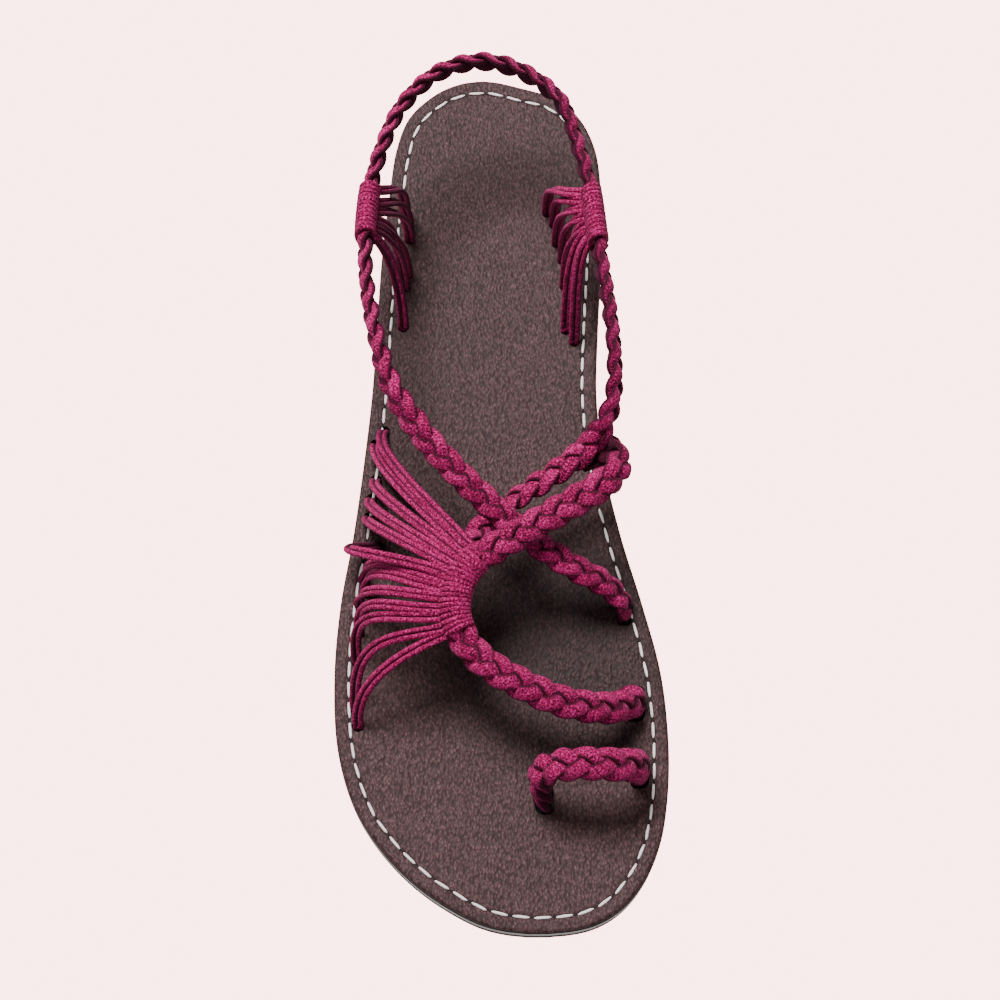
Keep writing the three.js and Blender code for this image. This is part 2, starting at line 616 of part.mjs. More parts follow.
function makeUpper() {
  const overlap = 0.01; // share of the strap that runs on into the binding
  const toBinding = { to: BINDING.from + overlap, startDepth: SLOT_CLEARANCE };
  return [
    braid(forefoot, BRAID_WIDTH, BRAID_THICKNESS, toBinding),
    winding(forefoot, BINDING, BINDING_WIDTH, BINDING_THICKNESS),
    braid(forefoot, BRAID_WIDTH, BRAID_THICKNESS, { from: BINDING.to - overlap }),
    braid(heelStrap, HEEL_STRAP_WIDTH, HEEL_STRAP_THICKNESS, { startDepth: SLOT_CLEARANCE }),
    sideWinding(OUTER_WINDING),
    sideWinding(INNER_WINDING),
    ...cords.map(cord),
  ].reduce((solid, piece) => solid.add(piece));
}

const makeToeLoop = () => braid(toeLoop, TOE_LOOP_WIDTH, TOE_LOOP_THICKNESS,
  { startDepth: SLOT_CLEARANCE, endDepth: SLOT_CLEARANCE });

function footbedCutters() {
  return [
    strapSlot(forefoot, BRAID_WIDTH, BRAID_THICKNESS),
    strapSlot(heelStrap, HEEL_STRAP_WIDTH, HEEL_STRAP_THICKNESS),
    strapSlot(toeLoop, TOE_LOOP_WIDTH, TOE_LOOP_THICKNESS),
    strapSlot(toeLoop, TOE_LOOP_WIDTH, TOE_LOOP_THICKNESS, true),
    ...cords.map(cordHole),
  ];
}

const group = new THREE.Group();

function addPiece(name, solid, material) {
  const piece = new THREE.Mesh(toGeometry(solid), material);
  piece.name = name;
  group.add(piece);
}

addPiece('outsole', makeOutsole(), RUBBER);
addPiece('midsole', makeMidsole(), FOAM);
addPiece('footbed', makeFootbed(footbedCutters()), LEATHER);
addPiece('braided_upper', makeUpper(), CORD);
addPiece('toe_loop', makeToeLoop(), CORD);

export default group;
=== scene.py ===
# %% [markdown]
# # A braided beach sandal
# The object is a flat sandal for the right foot. Its upper is made of thin knitted cord:
# some of it is braided into straps, some is wound tightly round them, and some runs loose
# from the straps down to small holes in the leather footbed. Below the footbed lie a light
# foam midsole and a dark rubber outsole.
#
# The solids of the sandal are loaded first and stay as they are. Every visible piece is
# then built over its own solid, in the same frame: +Z is up, the toe points along -Y, and
# +X is the side of the big toe. Sizes below are in millimetres.

# %% Load the frame
import math

import bmesh
import bpy
import numpy as np
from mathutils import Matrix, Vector


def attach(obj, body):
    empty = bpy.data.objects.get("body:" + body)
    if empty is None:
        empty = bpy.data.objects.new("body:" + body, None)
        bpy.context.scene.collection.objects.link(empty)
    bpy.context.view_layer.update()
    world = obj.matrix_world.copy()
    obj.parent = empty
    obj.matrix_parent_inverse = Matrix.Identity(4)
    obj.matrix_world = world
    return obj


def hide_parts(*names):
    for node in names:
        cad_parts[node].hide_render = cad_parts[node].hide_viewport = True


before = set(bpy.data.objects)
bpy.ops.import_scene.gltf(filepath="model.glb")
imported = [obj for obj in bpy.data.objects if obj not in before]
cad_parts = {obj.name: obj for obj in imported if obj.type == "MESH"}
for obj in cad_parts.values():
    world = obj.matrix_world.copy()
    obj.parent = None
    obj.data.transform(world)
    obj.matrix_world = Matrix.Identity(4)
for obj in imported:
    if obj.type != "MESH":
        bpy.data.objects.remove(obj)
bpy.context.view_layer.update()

MM = 0.001

# %% [markdown]
# ## The sole's outline and heights
# A sole is drawn by its maker as an outline with a heel, a waist and a ball. The table
# gives the inner and outer edge at stations along the length, as shares of half the width
# that each row names, and one smooth closed curve runs through them. A second table lifts
# the arch and the toe and thickens the heel.

# %% A table's rows by name
def table(columns, rows):
    """Each row of numbers as a dictionary, by the names of its columns."""
    return [dict(zip(columns.split(), row)) for row in rows]


# %% Sole sizes
SOLE_LENGTH = 250
HEEL_OVERHANG = 32.5
HEEL, WAIST, BALL = 62, 64, 90
OUTSOLE_THICKNESS = 3.4
MIDSOLE_THICKNESS = 2.6
HEEL_WEDGE = 2.0
FOOTBED_THICKNESS = 2.4
FOOTBED_DISH = 0.9
ARCH_LIFT = 1.5
TOE_SPRING = 5.0
LAYER_GAP = 0.3
MIDSOLE_INSET = 0.5
RIM_RADIUS = 1.1

OUTLINE = table("along of lateral medial", [
    (0.0, HEEL, 0.14, -0.14),
    (0.009, HEEL, 0.44, 0.22),
    (0.025, HEEL, 0.64, 0.58),
    (0.05, HEEL, 0.82, 0.79),
    (0.09, HEEL, 0.93, 0.93),
    (0.15, HEEL, 0.99, 0.98),
    (0.23, HEEL, 1.05, 0.97),
    (0.32, WAIST, 1.05, 0.9),
    (0.4, WAIST, 1.08, 0.88),
    (0.48, WAIST, 1.14, 0.935),
    (0.56, BALL, 0.865, 0.76),
    (0.64, BALL, 0.935, 0.885),
    (0.72, BALL, 0.963, 0.99),
    (0.8, BALL, 0.935, 1.025),
    (0.86, BALL, 0.838, 1.007),
    (0.905, BALL, 0.69, 0.958),
    (0.945, BALL, 0.485, 0.86),
    (0.975, BALL, 0.255, 0.722),
    (0.993, BALL, 0.045, 0.545),
    (1.0, BALL, -0.22, 0.22),
])
PROFILE = table("along lift spring wedge", [
    (0.0, 0, 0.06, 1),
    (0.04, 0, 0, 1),
    (0.28, 0, 0, 0.95),
    (0.36, 0.6, 0, 0.75),
    (0.43, 1, 0, 0.5),
    (0.51, 0.6, 0, 0.22),
    (0.59, 0, 0, 0.04),
    (0.66, 0, 0, 0),
    (0.8, 0, 0, 0),
    (0.86, 0, 0.14, 0),
    (0.93, 0, 0.48, 0),
    (1.0, 0, 1, 0),
])


# %% A smooth curve through given points
def smooth_curve(points, per_span, closed=False):
    """Centripetal Catmull-Rom curve: its places, and the point number at each of them."""
    p = np.asarray(points, float)
    n = len(p)
    places, spots = [], []
    for i in range(n if closed else n - 1):
        p1, p2 = p[i], p[(i + 1) % n]
        p0 = p[(i - 1) % n] if closed or i > 0 else 2 * p1 - p2
        p3 = p[(i + 2) % n] if closed or i + 2 < n else 2 * p2 - p1
        d0, d1, d2 = (max(np.linalg.norm(b - a), 1e-4) ** 0.5
                      for a, b in ((p0, p1), (p1, p2), (p2, p3)))
        m1 = ((p1 - p0) / d0 - (p2 - p0) / (d0 + d1) + (p2 - p1) / d1) * d1
        m2 = ((p2 - p1) / d1 - (p3 - p1) / (d1 + d2) + (p3 - p2) / d2) * d1
        t = (np.arange(per_span) / per_span)[:, None]
        places.append(p1 + m1 * t + (3 * (p2 - p1) - 2 * m1 - m2) * t**2
                      + (2 * (p1 - p2) + m1 + m2) * t**3)
        spots.append(i + t[:, 0])
    if not closed:
        places.append(p[-1:])
        spots.append(np.array([n - 1.0]))
    return np.concatenate(places), np.concatenate(spots)


def to_y(along):
    return HEEL_OVERHANG - np.asarray(along) * SOLE_LENGTH


# %% Edges and heights at any place on the sole
def sole_edges():
    """The inner and the outer edge, each by rising y."""
    inner = [(row["medial"] * row["of"] / 2, to_y(row["along"])) for row in OUTLINE]
    outer = [(-row["lateral"] * row["of"] / 2, to_y(row["along"])) for row in OUTLINE]
    loop, _ = smooth_curve(inner + outer[1:-1][::-1], 30, closed=True)
    toe = loop[:, 1].argmin()
    sides = loop[:toe + 1][::-1], loop[toe:]
    return [(np.maximum.accumulate(side[:, 1]), side[:, 0]) for side in sides]


INNER_EDGE, OUTER_EDGE = sole_edges()
STATIONS = np.linspace(0, 1, 501)
BLUR = np.ones(25) / 25


def smoothed_column(name):
    """A height column on even stations, with its corners rounded."""
    values = np.interp(STATIONS, [row["along"] for row in PROFILE], [row[name] for row in PROFILE])
    padded = np.pad(values, len(BLUR) // 2, mode="reflect", reflect_type="odd")
    return np.convolve(padded, BLUR, mode="valid")


HEIGHTS = {name: smoothed_column(name) for name in ("lift", "spring", "wedge")}


def height_share(name, y):
    return np.interp((HEEL_OVERHANG - np.asarray(y)) / SOLE_LENGTH, STATIONS, HEIGHTS[name])


def inner_x(y):
    return np.interp(y, *INNER_EDGE)


def outer_x(y):
    return np.interp(y, *OUTER_EDGE)


def dish(x, y):
    """How far the footbed's edge stands above its middle."""
    middle = (inner_x(y) + outer_x(y)) / 2
    half = np.maximum((inner_x(y) - outer_x(y)) / 2, 1)
    return FOOTBED_DISH * np.clip((x - middle) / half, -1, 1) ** 2


def underside(x, y):
    return ARCH_LIFT * height_share("lift", y) + TOE_SPRING * height_share("spring", y)


def outsole_top(x, y):
    return underside(x, y) + OUTSOLE_THICKNESS


def midsole_bottom(x, y):
    return outsole_top(x, y) + LAYER_GAP


def midsole_top(x, y):
    return midsole_bottom(x, y) + MIDSOLE_THICKNESS + HEEL_WEDGE * height_share("wedge", y) + dish(x, y)


def footbed_bottom(x, y):
    return midsole_top(x, y) + LAYER_GAP


def footbed_top(x, y):
    return footbed_bottom(x, y) + FOOTBED_THICKNESS


def on_foot(along, across, above=0.0):
    """A place over the sole: across runs from -1 at the outer edge to 1 at the inner edge."""
    y = to_y(along)
    x = outer_x(y) + (inner_x(y) - outer_x(y)) * (across + 1) / 2
    return np.array([x, y, footbed_top(x, y) + above])


print("footbed height under the heel:", round(float(footbed_top(0, 0)), 2), "mm")

# %% [markdown]
# ## Sole layers
# Each layer is a skin of rings. A ring is the outline moved inwards, and the last rings
# close on the sole's middle line. Because every ring has the same number of points, the
# faces between two rings are plain four-sided ones, which shade smoothly.

# %% Rings and skins
SOLE_ROWS = 150
MIDDLE_LINE = (0.12, 0.86)
END_CROWDING = 0.75
END_MARGIN = 0.0002


def sole_rim():
    """Points round the rim, and for each the place on the middle line that it faces."""
    i = np.arange(SOLE_ROWS + 1) / SOLE_ROWS
    along = END_CROWDING * (1 - np.cos(math.pi * i)) / 2 + (1 - END_CROWDING) * i
    y = to_y(END_MARGIN + along * (1 - 2 * END_MARGIN))
    middle_y = np.clip(y, to_y(MIDDLE_LINE[1]), to_y(MIDDLE_LINE[0]))
    facing = np.stack([(inner_x(middle_y) + outer_x(middle_y)) / 2, middle_y], 1)
    inner = np.stack([inner_x(y), y], 1)
    outer = np.stack([outer_x(y), y], 1)
    return np.concatenate([inner[::-1], outer]), np.concatenate([facing[::-1], facing])


RIM, FACING = sole_rim()


def sole_ring(inset, share, height, raised=0.0):
    inwards = FACING - RIM
    inwards = inwards / np.linalg.norm(inwards, axis=1, keepdims=True)
    edge = RIM + inwards * inset
    place = edge + (FACING - edge) * share
    return np.column_stack([place, height(place[:, 0], place[:, 1]) + raised])


def mesh_object(name, points, faces, material=None, merge=0.0):
    """A mesh object from points in millimetres, with outward faces and smooth shading."""
    mesh = bpy.data.meshes.new(name)
    mesh.from_pydata((np.asarray(points) * MM).tolist(), [], faces)
    if merge:
        shape = bmesh.new()
        shape.from_mesh(mesh)
        bmesh.ops.remove_doubles(shape, verts=shape.verts, dist=merge * MM)
        bmesh.ops.recalc_face_normals(shape, faces=shape.faces)
        shape.to_mesh(mesh)
        shape.free()
    mesh.shade_smooth()
    obj = bpy.data.objects.new(name, mesh)
    bpy.context.scene.collection.objects.link(obj)
    if material:
        mesh.materials.append(material)
    return obj


def skin(rings):
    """Four-sided faces between rings of equally many points."""
    count = len(rings[0])
    faces = []
    for ring in range(len(rings) - 1):
        for i in range(count):
            a = ring * count + i
            b = ring * count + (i + 1) % count
            faces.append((a, b, b + count, a + count))
    return np.concatenate(rings), faces


def crease(obj, degrees):
    """Keeps edges sharper than this angle crisp."""
    obj.data.set_sharp_from_angle(angle=math.radians(degrees))


# %% [markdown]
# ## Cutting holes
# The straps and every loose cord go through the leather. A hole is real: a short plug of
# its section is cut out of the footbed with the Boolean modifier, whose result is then
# kept as a plain mesh.

# %% Evaluated copies and cuts
def keep_result(obj):
    """Replaces the object's mesh by what its modifiers make of it."""
    seen = obj.evaluated_get(bpy.context.evaluated_depsgraph_get())
    made = bpy.data.meshes.new_from_object(seen)
    made.name = obj.name
    obj.modifiers.clear()
    obj.data = made
    return obj


def prism(outline, low, high):
    """A closed plug: its outline at two heights, and a fan to the middle of each end."""
    outline = np.asarray(outline)
    count = len(outline)
    rings = [np.column_stack([outline, np.full(count, z)]) for z in (low, high)]
    points, faces = skin(rings)
    middle = outline.mean(axis=0)
    points = np.vstack([points, [*middle, low], [*middle, high]])
    for i in range(count):
        faces.append(((i + 1) % count, i, 2 * count))
        faces.append((count + i, count + (i + 1) % count, 2 * count + 1))
    return points, faces


def cut(obj, plugs):
    points, faces = [], []
    for plug_points, plug_faces in plugs:
        start = sum(len(part) for part in points)
        points.append(plug_points)
        faces += [tuple(start + v for v in face) for face in plug_faces]
    cutter = mesh_object("cutter", np.concatenate(points), faces, merge=1e-4)
    modifier = obj.modifiers.new("cut", "BOOLEAN")
    modifier.operation = "DIFFERENCE"
    modifier.solver = "EXACT"
    modifier.object = cutter
    keep_result(obj)
    bpy.data.objects.remove(cutter)


# %% [markdown]
# ## Strap routes
# A strap is described by the places that it passes: how far along and across the sole,
# how high above it, and how its flat face rolls. A braid lies flat over the instep, with
# its face up, and stands on edge round the heel, with its face outwards.

# %% Upper sizes
BRAID_WIDTH, BRAID_THICKNESS = 9.5, 4.8
HEEL_STRAP_WIDTH, HEEL_STRAP_THICKNESS = 8.4, 3.8
TOE_LOOP_WIDTH, TOE_LOOP_THICKNESS = 9.8, 4.8
BINDING_WIDTH, BINDING_THICKNESS = 8.4, 6.6
LOBE_PITCH = 6.3
STRAP_RISE = 36
TOE_LOOP_RISE = 20
SLOT_CLEARANCE = 0.35
CORD_DIAMETER = 2.6

FOREFOOT_ROUTE = table("along across above roll", [
    (0.752, 0.815, 0.0, 90),
    (0.754, 0.81, 0.12, 88),
    (0.766, 0.7, 0.28, 40),
    (0.771, 0.53, 0.42, 12),
    (0.766, 0.33, 0.5, 4),
    (0.752, 0.13, 0.57, 0),
    (0.734, -0.05, 0.61, 0),
    (0.711, -0.18, 0.64, 0),
    (0.683, -0.24, 0.67, 0),
    (0.651, -0.21, 0.7, 0),
    (0.625, -0.1, 0.73, 0),
    (0.604, 0.12, 0.76, 0),
    (0.584, 0.37, 0.79, 0),
    (0.563, 0.64, 0.81, 0),
    (0.546, 0.86, 0.82, 15),
    (0.53, 1.0, 0.79, 50),
    (0.511, 1.05, 0.7, 85),
    (0.498, 1.0, 0.61, 125),
    (0.499, 0.88, 0.55, 160),
    (0.506, 0.78, 0.52, 180),
])
HEEL_STRAP_ROUTE = table("along across above roll", [
    (0.647, 0.87, 0.0, 90),
    (0.645, 0.865, 0.12, 88),
    (0.633, 0.77, 0.32, 45),
    (0.621, 0.57, 0.48, 15),
    (0.594, 0.3, 0.58, 0),
    (0.564, 0.07, 0.65, 0),
    (0.527, -0.22, 0.75, 10),
    (0.487, -0.51, 0.83, 30),
    (0.443, -0.76, 0.88, 55),
    (0.385, -0.93, 0.93, 78),
    (0.307, -1.05, 0.93, 90),
    (0.223, -1.07, 0.92, 90),
    (0.165, -1.01, 0.96, 88),
    (0.114, -0.86, 1.02, 84),
    (0.077, -0.57, 1.07, 80),
    (0.064, -0.13, 1.1, 80),
    (0.076, 0.29, 1.07, 80),
    (0.108, 0.6, 1.02, 84),
    (0.153, 0.73, 0.96, 88),
    (0.205, 0.85, 0.92, 90),
    (0.277, 0.95, 0.92, 90),
    (0.355, 1.07, 0.92, 90),
    (0.406, 1.11, 0.89, 85),
    (0.449, 1.08, 0.84, 75),
    (0.481, 0.97, 0.76, 50),
    (0.5, 0.79, 0.66, 5),
    (0.523, 0.5, 0.58, -50),
    (0.545, 0.23, 0.53, -60),
    (0.58, -0.02, 0.58, -30),
    (0.61, -0.12, 0.68, 0),
])
TOE_LOOP_ROUTE = table("along across above roll", [
    (0.825, 0.815, 0.0, 90),
    (0.827, 0.815, 0.3, 86),
    (0.834, 0.77, 0.74, 45),
    (0.837, 0.62, 0.98, 6),
    (0.837, 0.46, 1.02, -6),
    (0.838, 0.3, 0.95, -25),
    (0.841, 0.2, 0.72, -45),
    (0.847, 0.19, 0.38, -50),
    (0.853, 0.22, 0.0, -50),
])

# %% Strap paths with a rolling flat face
CURVE_STEPS = 60
PATH_STEP = 0.6
DEPTH_IN_SLOT = 2.2
FACE_BLUR = 4
NEAR_MIDDLE = 0.01


def unit(vectors):
    return vectors / np.linalg.norm(vectors, axis=-1, keepdims=True)


def read_along(steps, run, line):
    """A line's points at the given distances along it."""
    return np.stack([np.interp(steps, run, line[:, c]) for c in range(3)], 1)


def smooth_along(values, reach):
    """A running mean along the first axis that keeps the ends."""
    padded = np.pad(values, ((reach, reach), (0, 0)), mode="edge")
    kernel = np.ones(2 * reach + 1) / (2 * reach + 1)
    return np.stack([np.convolve(padded[:, c], kernel, mode="valid") for c in range(values.shape[1])], 1)


def strap_path(route, rise, sunk_end=False):
    """Even steps along a strap: place, and the directions of its flat face and its width."""
    rows = [on_foot(row["along"], row["across"], row["above"] * rise) for row in route]
    dense, spots = smooth_curve(rows, CURVE_STEPS)
    rolls = np.interp(spots, range(len(route)), [math.radians(row["roll"]) for row in route])
    dense = np.vstack([dense[0] - [0, 0, DEPTH_IN_SLOT], dense])
    rolls = np.append(rolls[0], rolls)
    if sunk_end:
        dense = np.vstack([dense, dense[-1] - [0, 0, DEPTH_IN_SLOT]])
        rolls = np.append(rolls, rolls[-1])
    run = np.append(0, np.cumsum(np.linalg.norm(np.diff(dense, axis=0), axis=1)))
    steps = np.linspace(0, run[-1], int(run[-1] / PATH_STEP) + 1)
    origin = read_along(steps, run, dense)
    roll = np.interp(steps, run, rolls)
    away = np.column_stack([
        np.where(origin[:, 0] < 0, np.minimum(origin[:, 0], -NEAR_MIDDLE),
                 np.maximum(origin[:, 0], NEAR_MIDDLE)),
        np.maximum(origin[:, 1], 0),
        np.zeros(len(origin)),
    ])
    face = np.array([0, 0, 1]) * np.cos(roll)[:, None] + unit(away) * np.sin(roll)[:, None]
    tangent = unit(np.gradient(origin, axis=0))
    face = smooth_along(face, FACE_BLUR)
    face = unit(face - tangent * (face * tangent).sum(1, keepdims=True))
    end = run[-1] - (DEPTH_IN_SLOT if sunk_end else 0)
    return {"steps": steps, "origin": origin, "face": face,
            "side": np.cross(face, tangent), "start": DEPTH_IN_SLOT,
            "length": end - DEPTH_IN_SLOT}


def stretch(path, first, last):
    """The part of a path between two shares of the strap's length."""
    share = (path["steps"] - path["start"]) / path["length"]
    inside = (share >= first) & (share <= last)
    return {name: path[name][inside] for name in ("steps", "origin", "face", "side")}


def frame_at(path, share):
    step = path["start"] + share * path["length"]
    return {name: np.array([np.interp(step, path["steps"], path[name][:, c]) for c in range(3)])
            for name in ("origin", "face", "side")}


FOREFOOT = strap_path(FOREFOOT_ROUTE, STRAP_RISE)
HEEL_STRAP = strap_path(HEEL_STRAP_ROUTE, STRAP_RISE)
TOE_LOOP = strap_path(TOE_LOOP_ROUTE, TOE_LOOP_RISE, sunk_end=True)
print("strap lengths in mm:", [round(float(p["length"])) for p in (FOREFOOT, HEEL_STRAP, TOE_LOOP)])

# %% [markdown]
# ## Loose cords
# The side cords leave the bound stretch of the instep and the two windings at the heel,
# hang in soft arcs, and drop into holes in the leather. A cubic arc is enough: it leaves
# the hole upwards and arrives in the strap straight from the side.

# %% Where the cords start and end
BINDING = (0.42, 0.575)
OUTER_WINDING = (0.363, 0.405)
INNER_WINDING = (0.678, 0.724)

EDGE_CORDS = table("along across knot rise lean back reach", [
    (0.443, -0.86, 0.98, 9, -4, -9, 12),
    (0.459, -0.92, 0.92, 8, -1, -9, 13),
    (0.5, -0.88, 0.85, 9, -3, -5, 13),
    (0.522, -0.9, 0.78, 9, -3, -5, 13),
    (0.543, -0.9, 0.71, 10, -3, -4, 13),
    (0.576, -0.8, 0.64, 15, 21, -5, 14),
    (0.612, -0.87, 0.57, 12, 0, 4, 14),
    (0.628, -0.84, 0.48, 16, 1, 5, 12),
    (0.643, -0.87, 0.4, 13, 1, 3, 14),
    (0.673, -0.86, 0.29, 18, 0, 7, 16),
    (0.706, -0.86, 0.22, 17, 2, 13, 16),
    (0.758, -0.87, 0.11, 20, 1, 17, 12),
    (0.777, -0.86, 0.05, 15, -1, 9, 12),
])
OUTER_HEEL_CORDS = table("along across knot rise lean back reach", [
    (0.176, -0.82, 0.95, 24, 0, 0, 7),
    (0.19, -0.78, 0.7, 22, 0, 0, 6),
    (0.206, -0.76, 0.54, 20, 0, 0, 6),
    (0.25, -0.75, 0.38, 20, 0, 0, 6),
    (0.266, -0.77, 0.22, 18, 0, 2, 6),
    (0.316, -0.76, 0.06, 16, 0, 8, 4),
])
INNER_HEEL_CORDS = table("along across knot rise lean back reach", [
    (0.171, 0.49, 0.08, 23, 0, 0, 10),
    (0.186, 0.56, 0.22, 22, 0, 0, 9),
    (0.21, 0.59, 0.36, 20, 0, 0, 8),
    (0.232, 0.65, 0.5, 19, 0, 0, 7),
    (0.264, 0.68, 0.64, 18, 0, 2, 6),
    (0.319, 0.71, 0.78, 16, 0, 6, 6),
    (0.334, 0.79, 0.92, 16, 0, 6, 5),
])


def cord_route(row, knot, direction):
    """A cord's middle line, from below the leather up and over into the strap."""
    hole = on_foot(row["along"], row["across"])
    heading = np.array([math.copysign(row["lean"], row["across"]), row["back"], row["rise"]])
    corners = [hole, hole + heading, knot + direction * row["reach"], knot]
    t = np.linspace(0, 1, CURVE_STEPS)[:, None]
    weights = ((1 - t) ** 3, 3 * t * (1 - t) ** 2, 3 * t**2 * (1 - t), t**3)
    arc = sum(weight * corner for weight, corner in zip(weights, corners))
    return np.vstack([hole - [0, 0, DEPTH_IN_SLOT], arc])


def routes_from(rows, path, span, side_share, direction_of):
    made = []
    for row in rows:
        at = frame_at(path, span[0] + (span[1] - span[0]) * row["knot"])
        direction = direction_of(at)
        made.append(cord_route(row, at["origin"] + direction * side_share, direction))
    return made


edge_routes = routes_from(EDGE_CORDS, FOREFOOT, BINDING, BINDING_WIDTH / 4, lambda at: at["side"])
heel_routes = [
    line for rows, span in ((OUTER_HEEL_CORDS, OUTER_WINDING), (INNER_HEEL_CORDS, INNER_WINDING))
    for line in routes_from(rows, HEEL_STRAP, span, HEEL_STRAP_THICKNESS / 4, lambda at: -at["face"])
]
print("loose cords:", len(edge_routes), "at the instep,", len(heel_routes), "at the heel")

# %% [markdown]
# ## Knitted cord
# Up close, the cord is a thin knitted tube. Its stitches make small V shapes along it, and
# the yarn is heathered: pale and dark fibres mixed with the raspberry ones. Every tube mesh
# carries an attribute named yarn that follows the cord: x folds round the tube, y is the
# distance along it in millimetres, and z is a number of its own for each cord. The node
# group reads it, so the stitches bend with the cord.

# %% Small helpers for shader nodes
def new_material(name):
    material = bpy.data.materials.new(name)
    material.use_nodes = True
    nodes = material.node_tree.nodes
    return material, material.node_tree, nodes["Principled BSDF"]


def new_group(name, inputs, outputs):
    """A shader node group with named sockets."""
    group = bpy.data.node_groups.new(name, "ShaderNodeTree")
    for label, kind, value in inputs:
        socket = group.interface.new_socket(name=label, in_out="INPUT", socket_type=kind)
        if value is not None:
            socket.default_value = value
    for label, kind in outputs:
        group.interface.new_socket(name=label, in_out="OUTPUT", socket_type=kind)
    return group, group.nodes.new("NodeGroupInput"), group.nodes.new("NodeGroupOutput")


def feed(tree, target, value):
    """Links a socket or sets a plain value."""
    if isinstance(value, bpy.types.NodeSocket):
        tree.links.new(value, target)
    else:
        target.default_value = value


def dress(node, **sockets):
    """Feeds a node's inputs by name; an underscore stands for a space."""
    for label, value in sockets.items():
        feed(node.id_data, node.inputs[label.replace("_", " ")], value)


def math_node(tree, operation, *values, clamp=False):
    node = tree.nodes.new("ShaderNodeMath")
    node.operation = operation
    node.use_clamp = clamp
    for socket, value in zip(node.inputs, values):
        feed(tree, socket, value)
    return node.outputs[0]


def vector_node(tree, operation, *values):
    node = tree.nodes.new("ShaderNodeVectorMath")
    node.operation = operation
    for socket, value in zip(node.inputs, values):
        feed(tree, socket, value)
    return node.outputs[0]


def ramp(tree, value, stops):
    """A colour ramp from (place, colour) stops."""
    node = tree.nodes.new("ShaderNodeValToRGB")
    elements = node.color_ramp.elements
    while len(elements) < len(stops):
        elements.new(0.5)
    for element, (place, colour) in zip(elements, stops):
        element.position = place
        element.color = (*colour, 1)
    tree.links.new(value, node.inputs[0])
    return node.outputs[0]


def mix_colour(tree, factor, first, second, blend="MIX"):
    node = tree.nodes.new("ShaderNodeMix")
    node.data_type = "RGBA"
    node.blend_type = blend
    feed(tree, node.inputs[0], factor)
    for socket, value in zip(node.inputs[6:8], (first, second)):
        feed(tree, socket, (*value, 1) if isinstance(value, tuple) and len(value) == 3 else value)
    return node.outputs[2]


def noise(tree, vector, scale, detail=2.0, roughness=0.5):
    node = tree.nodes.new("ShaderNodeTexNoise")
    dress(node, Vector=vector, Scale=scale, Detail=detail, Roughness=roughness)
    return node.outputs["Fac"]


def bump(tree, height, strength, distance):
    node = tree.nodes.new("ShaderNodeBump")
    dress(node, Strength=strength, Distance=distance, Height=height)
    return node.outputs[0]


def smooth_step(tree, value, start, end, top=1.0):
    """A soft rise from 0 to the top between two values."""
    node = tree.nodes.new("ShaderNodeMapRange")
    node.interpolation_type = "SMOOTHSTEP"
    dress(node, Value=value, From_Min=start, From_Max=end, To_Max=top)
    return node.outputs[0]


def use_group(tree, group, **sockets):
    node = tree.nodes.new("ShaderNodeGroup")
    node.node_tree = group
    dress(node, **sockets)
    return node


def object_place(tree):
    return tree.nodes.new("ShaderNodeTexCoord").outputs["Object"]


# %% Node group: knit
CHEVRON_SLANT = 2.6
STRAND_EDGE = (0.17, 0.4)


def knit_group():
    group, given, result = new_group(
        "Knit",
        [("Yarn", "NodeSocketVector", None), ("Place", "NodeSocketVector", None),
         ("Stitch Length", "NodeSocketFloat", 0.9), ("Fibre Scale", "NodeSocketFloat", 2600.0)],
        [("Height", "NodeSocketFloat"), ("Heather", "NodeSocketFloat"), ("Groove", "NodeSocketFloat"),
         ("Edge", "NodeSocketFloat")],
    )
    split = group.nodes.new("ShaderNodeSeparateXYZ")
    group.links.new(given.outputs["Yarn"], split.inputs[0])
    along = math_node(group, "DIVIDE", split.outputs[1], given.outputs["Stitch Length"])
    wander = noise(group, given.outputs["Place"], 700.0, detail=1.0)
    chevron = math_node(group, "MULTIPLY", split.outputs[0], CHEVRON_SLANT)
    phase = math_node(group, "ADD", math_node(group, "ADD", along, chevron),
                      math_node(group, "MULTIPLY", wander, 0.7))
    wave = math_node(group, "SINE", math_node(group, "MULTIPLY", phase, 2 * math.pi))
    stitch = math_node(group, "MULTIPLY_ADD", wave, 0.5, 0.5)
    fibre = noise(group, given.outputs["Place"], given.outputs["Fibre Scale"], detail=3.0, roughness=0.7)
    height = math_node(group, "ADD", math_node(group, "MULTIPLY", stitch, 0.32),
                       math_node(group, "MULTIPLY", fibre, 0.75))
    group.links.new(height, result.inputs["Height"])
    fleck = noise(group, given.outputs["Place"], 2100.0, detail=2.0, roughness=0.7)
    own = math_node(group, "MULTIPLY_ADD", split.outputs[2], 0.05, 0.03)
    heather = math_node(group, "ADD", math_node(group, "MULTIPLY_ADD", fleck, 1.0, -0.06), own)
    # Groove and Edge mark painted shade: the stitch grooves, and the sides and underside of each strand.
    dress(result, Heather=heather, Groove=math_node(group, "SUBTRACT", 1.0, stitch),
          Edge=smooth_step(group, split.outputs[0], *STRAND_EDGE))
    return group


KNIT = knit_group()

# %% Cord finish
# The darkest colour serves both as the dark heather fibre and as the painted shade.
CORD_DARK_FIBRE_AND_SHADE = (0.03, 0.0004, 0.008)
CORD_BASE = (0.37, 0.003, 0.086)
CORD_LIGHT = (0.68, 0.046, 0.27)
GROOVE_SHADE, EDGE_SHADE = 0.25, 0.95


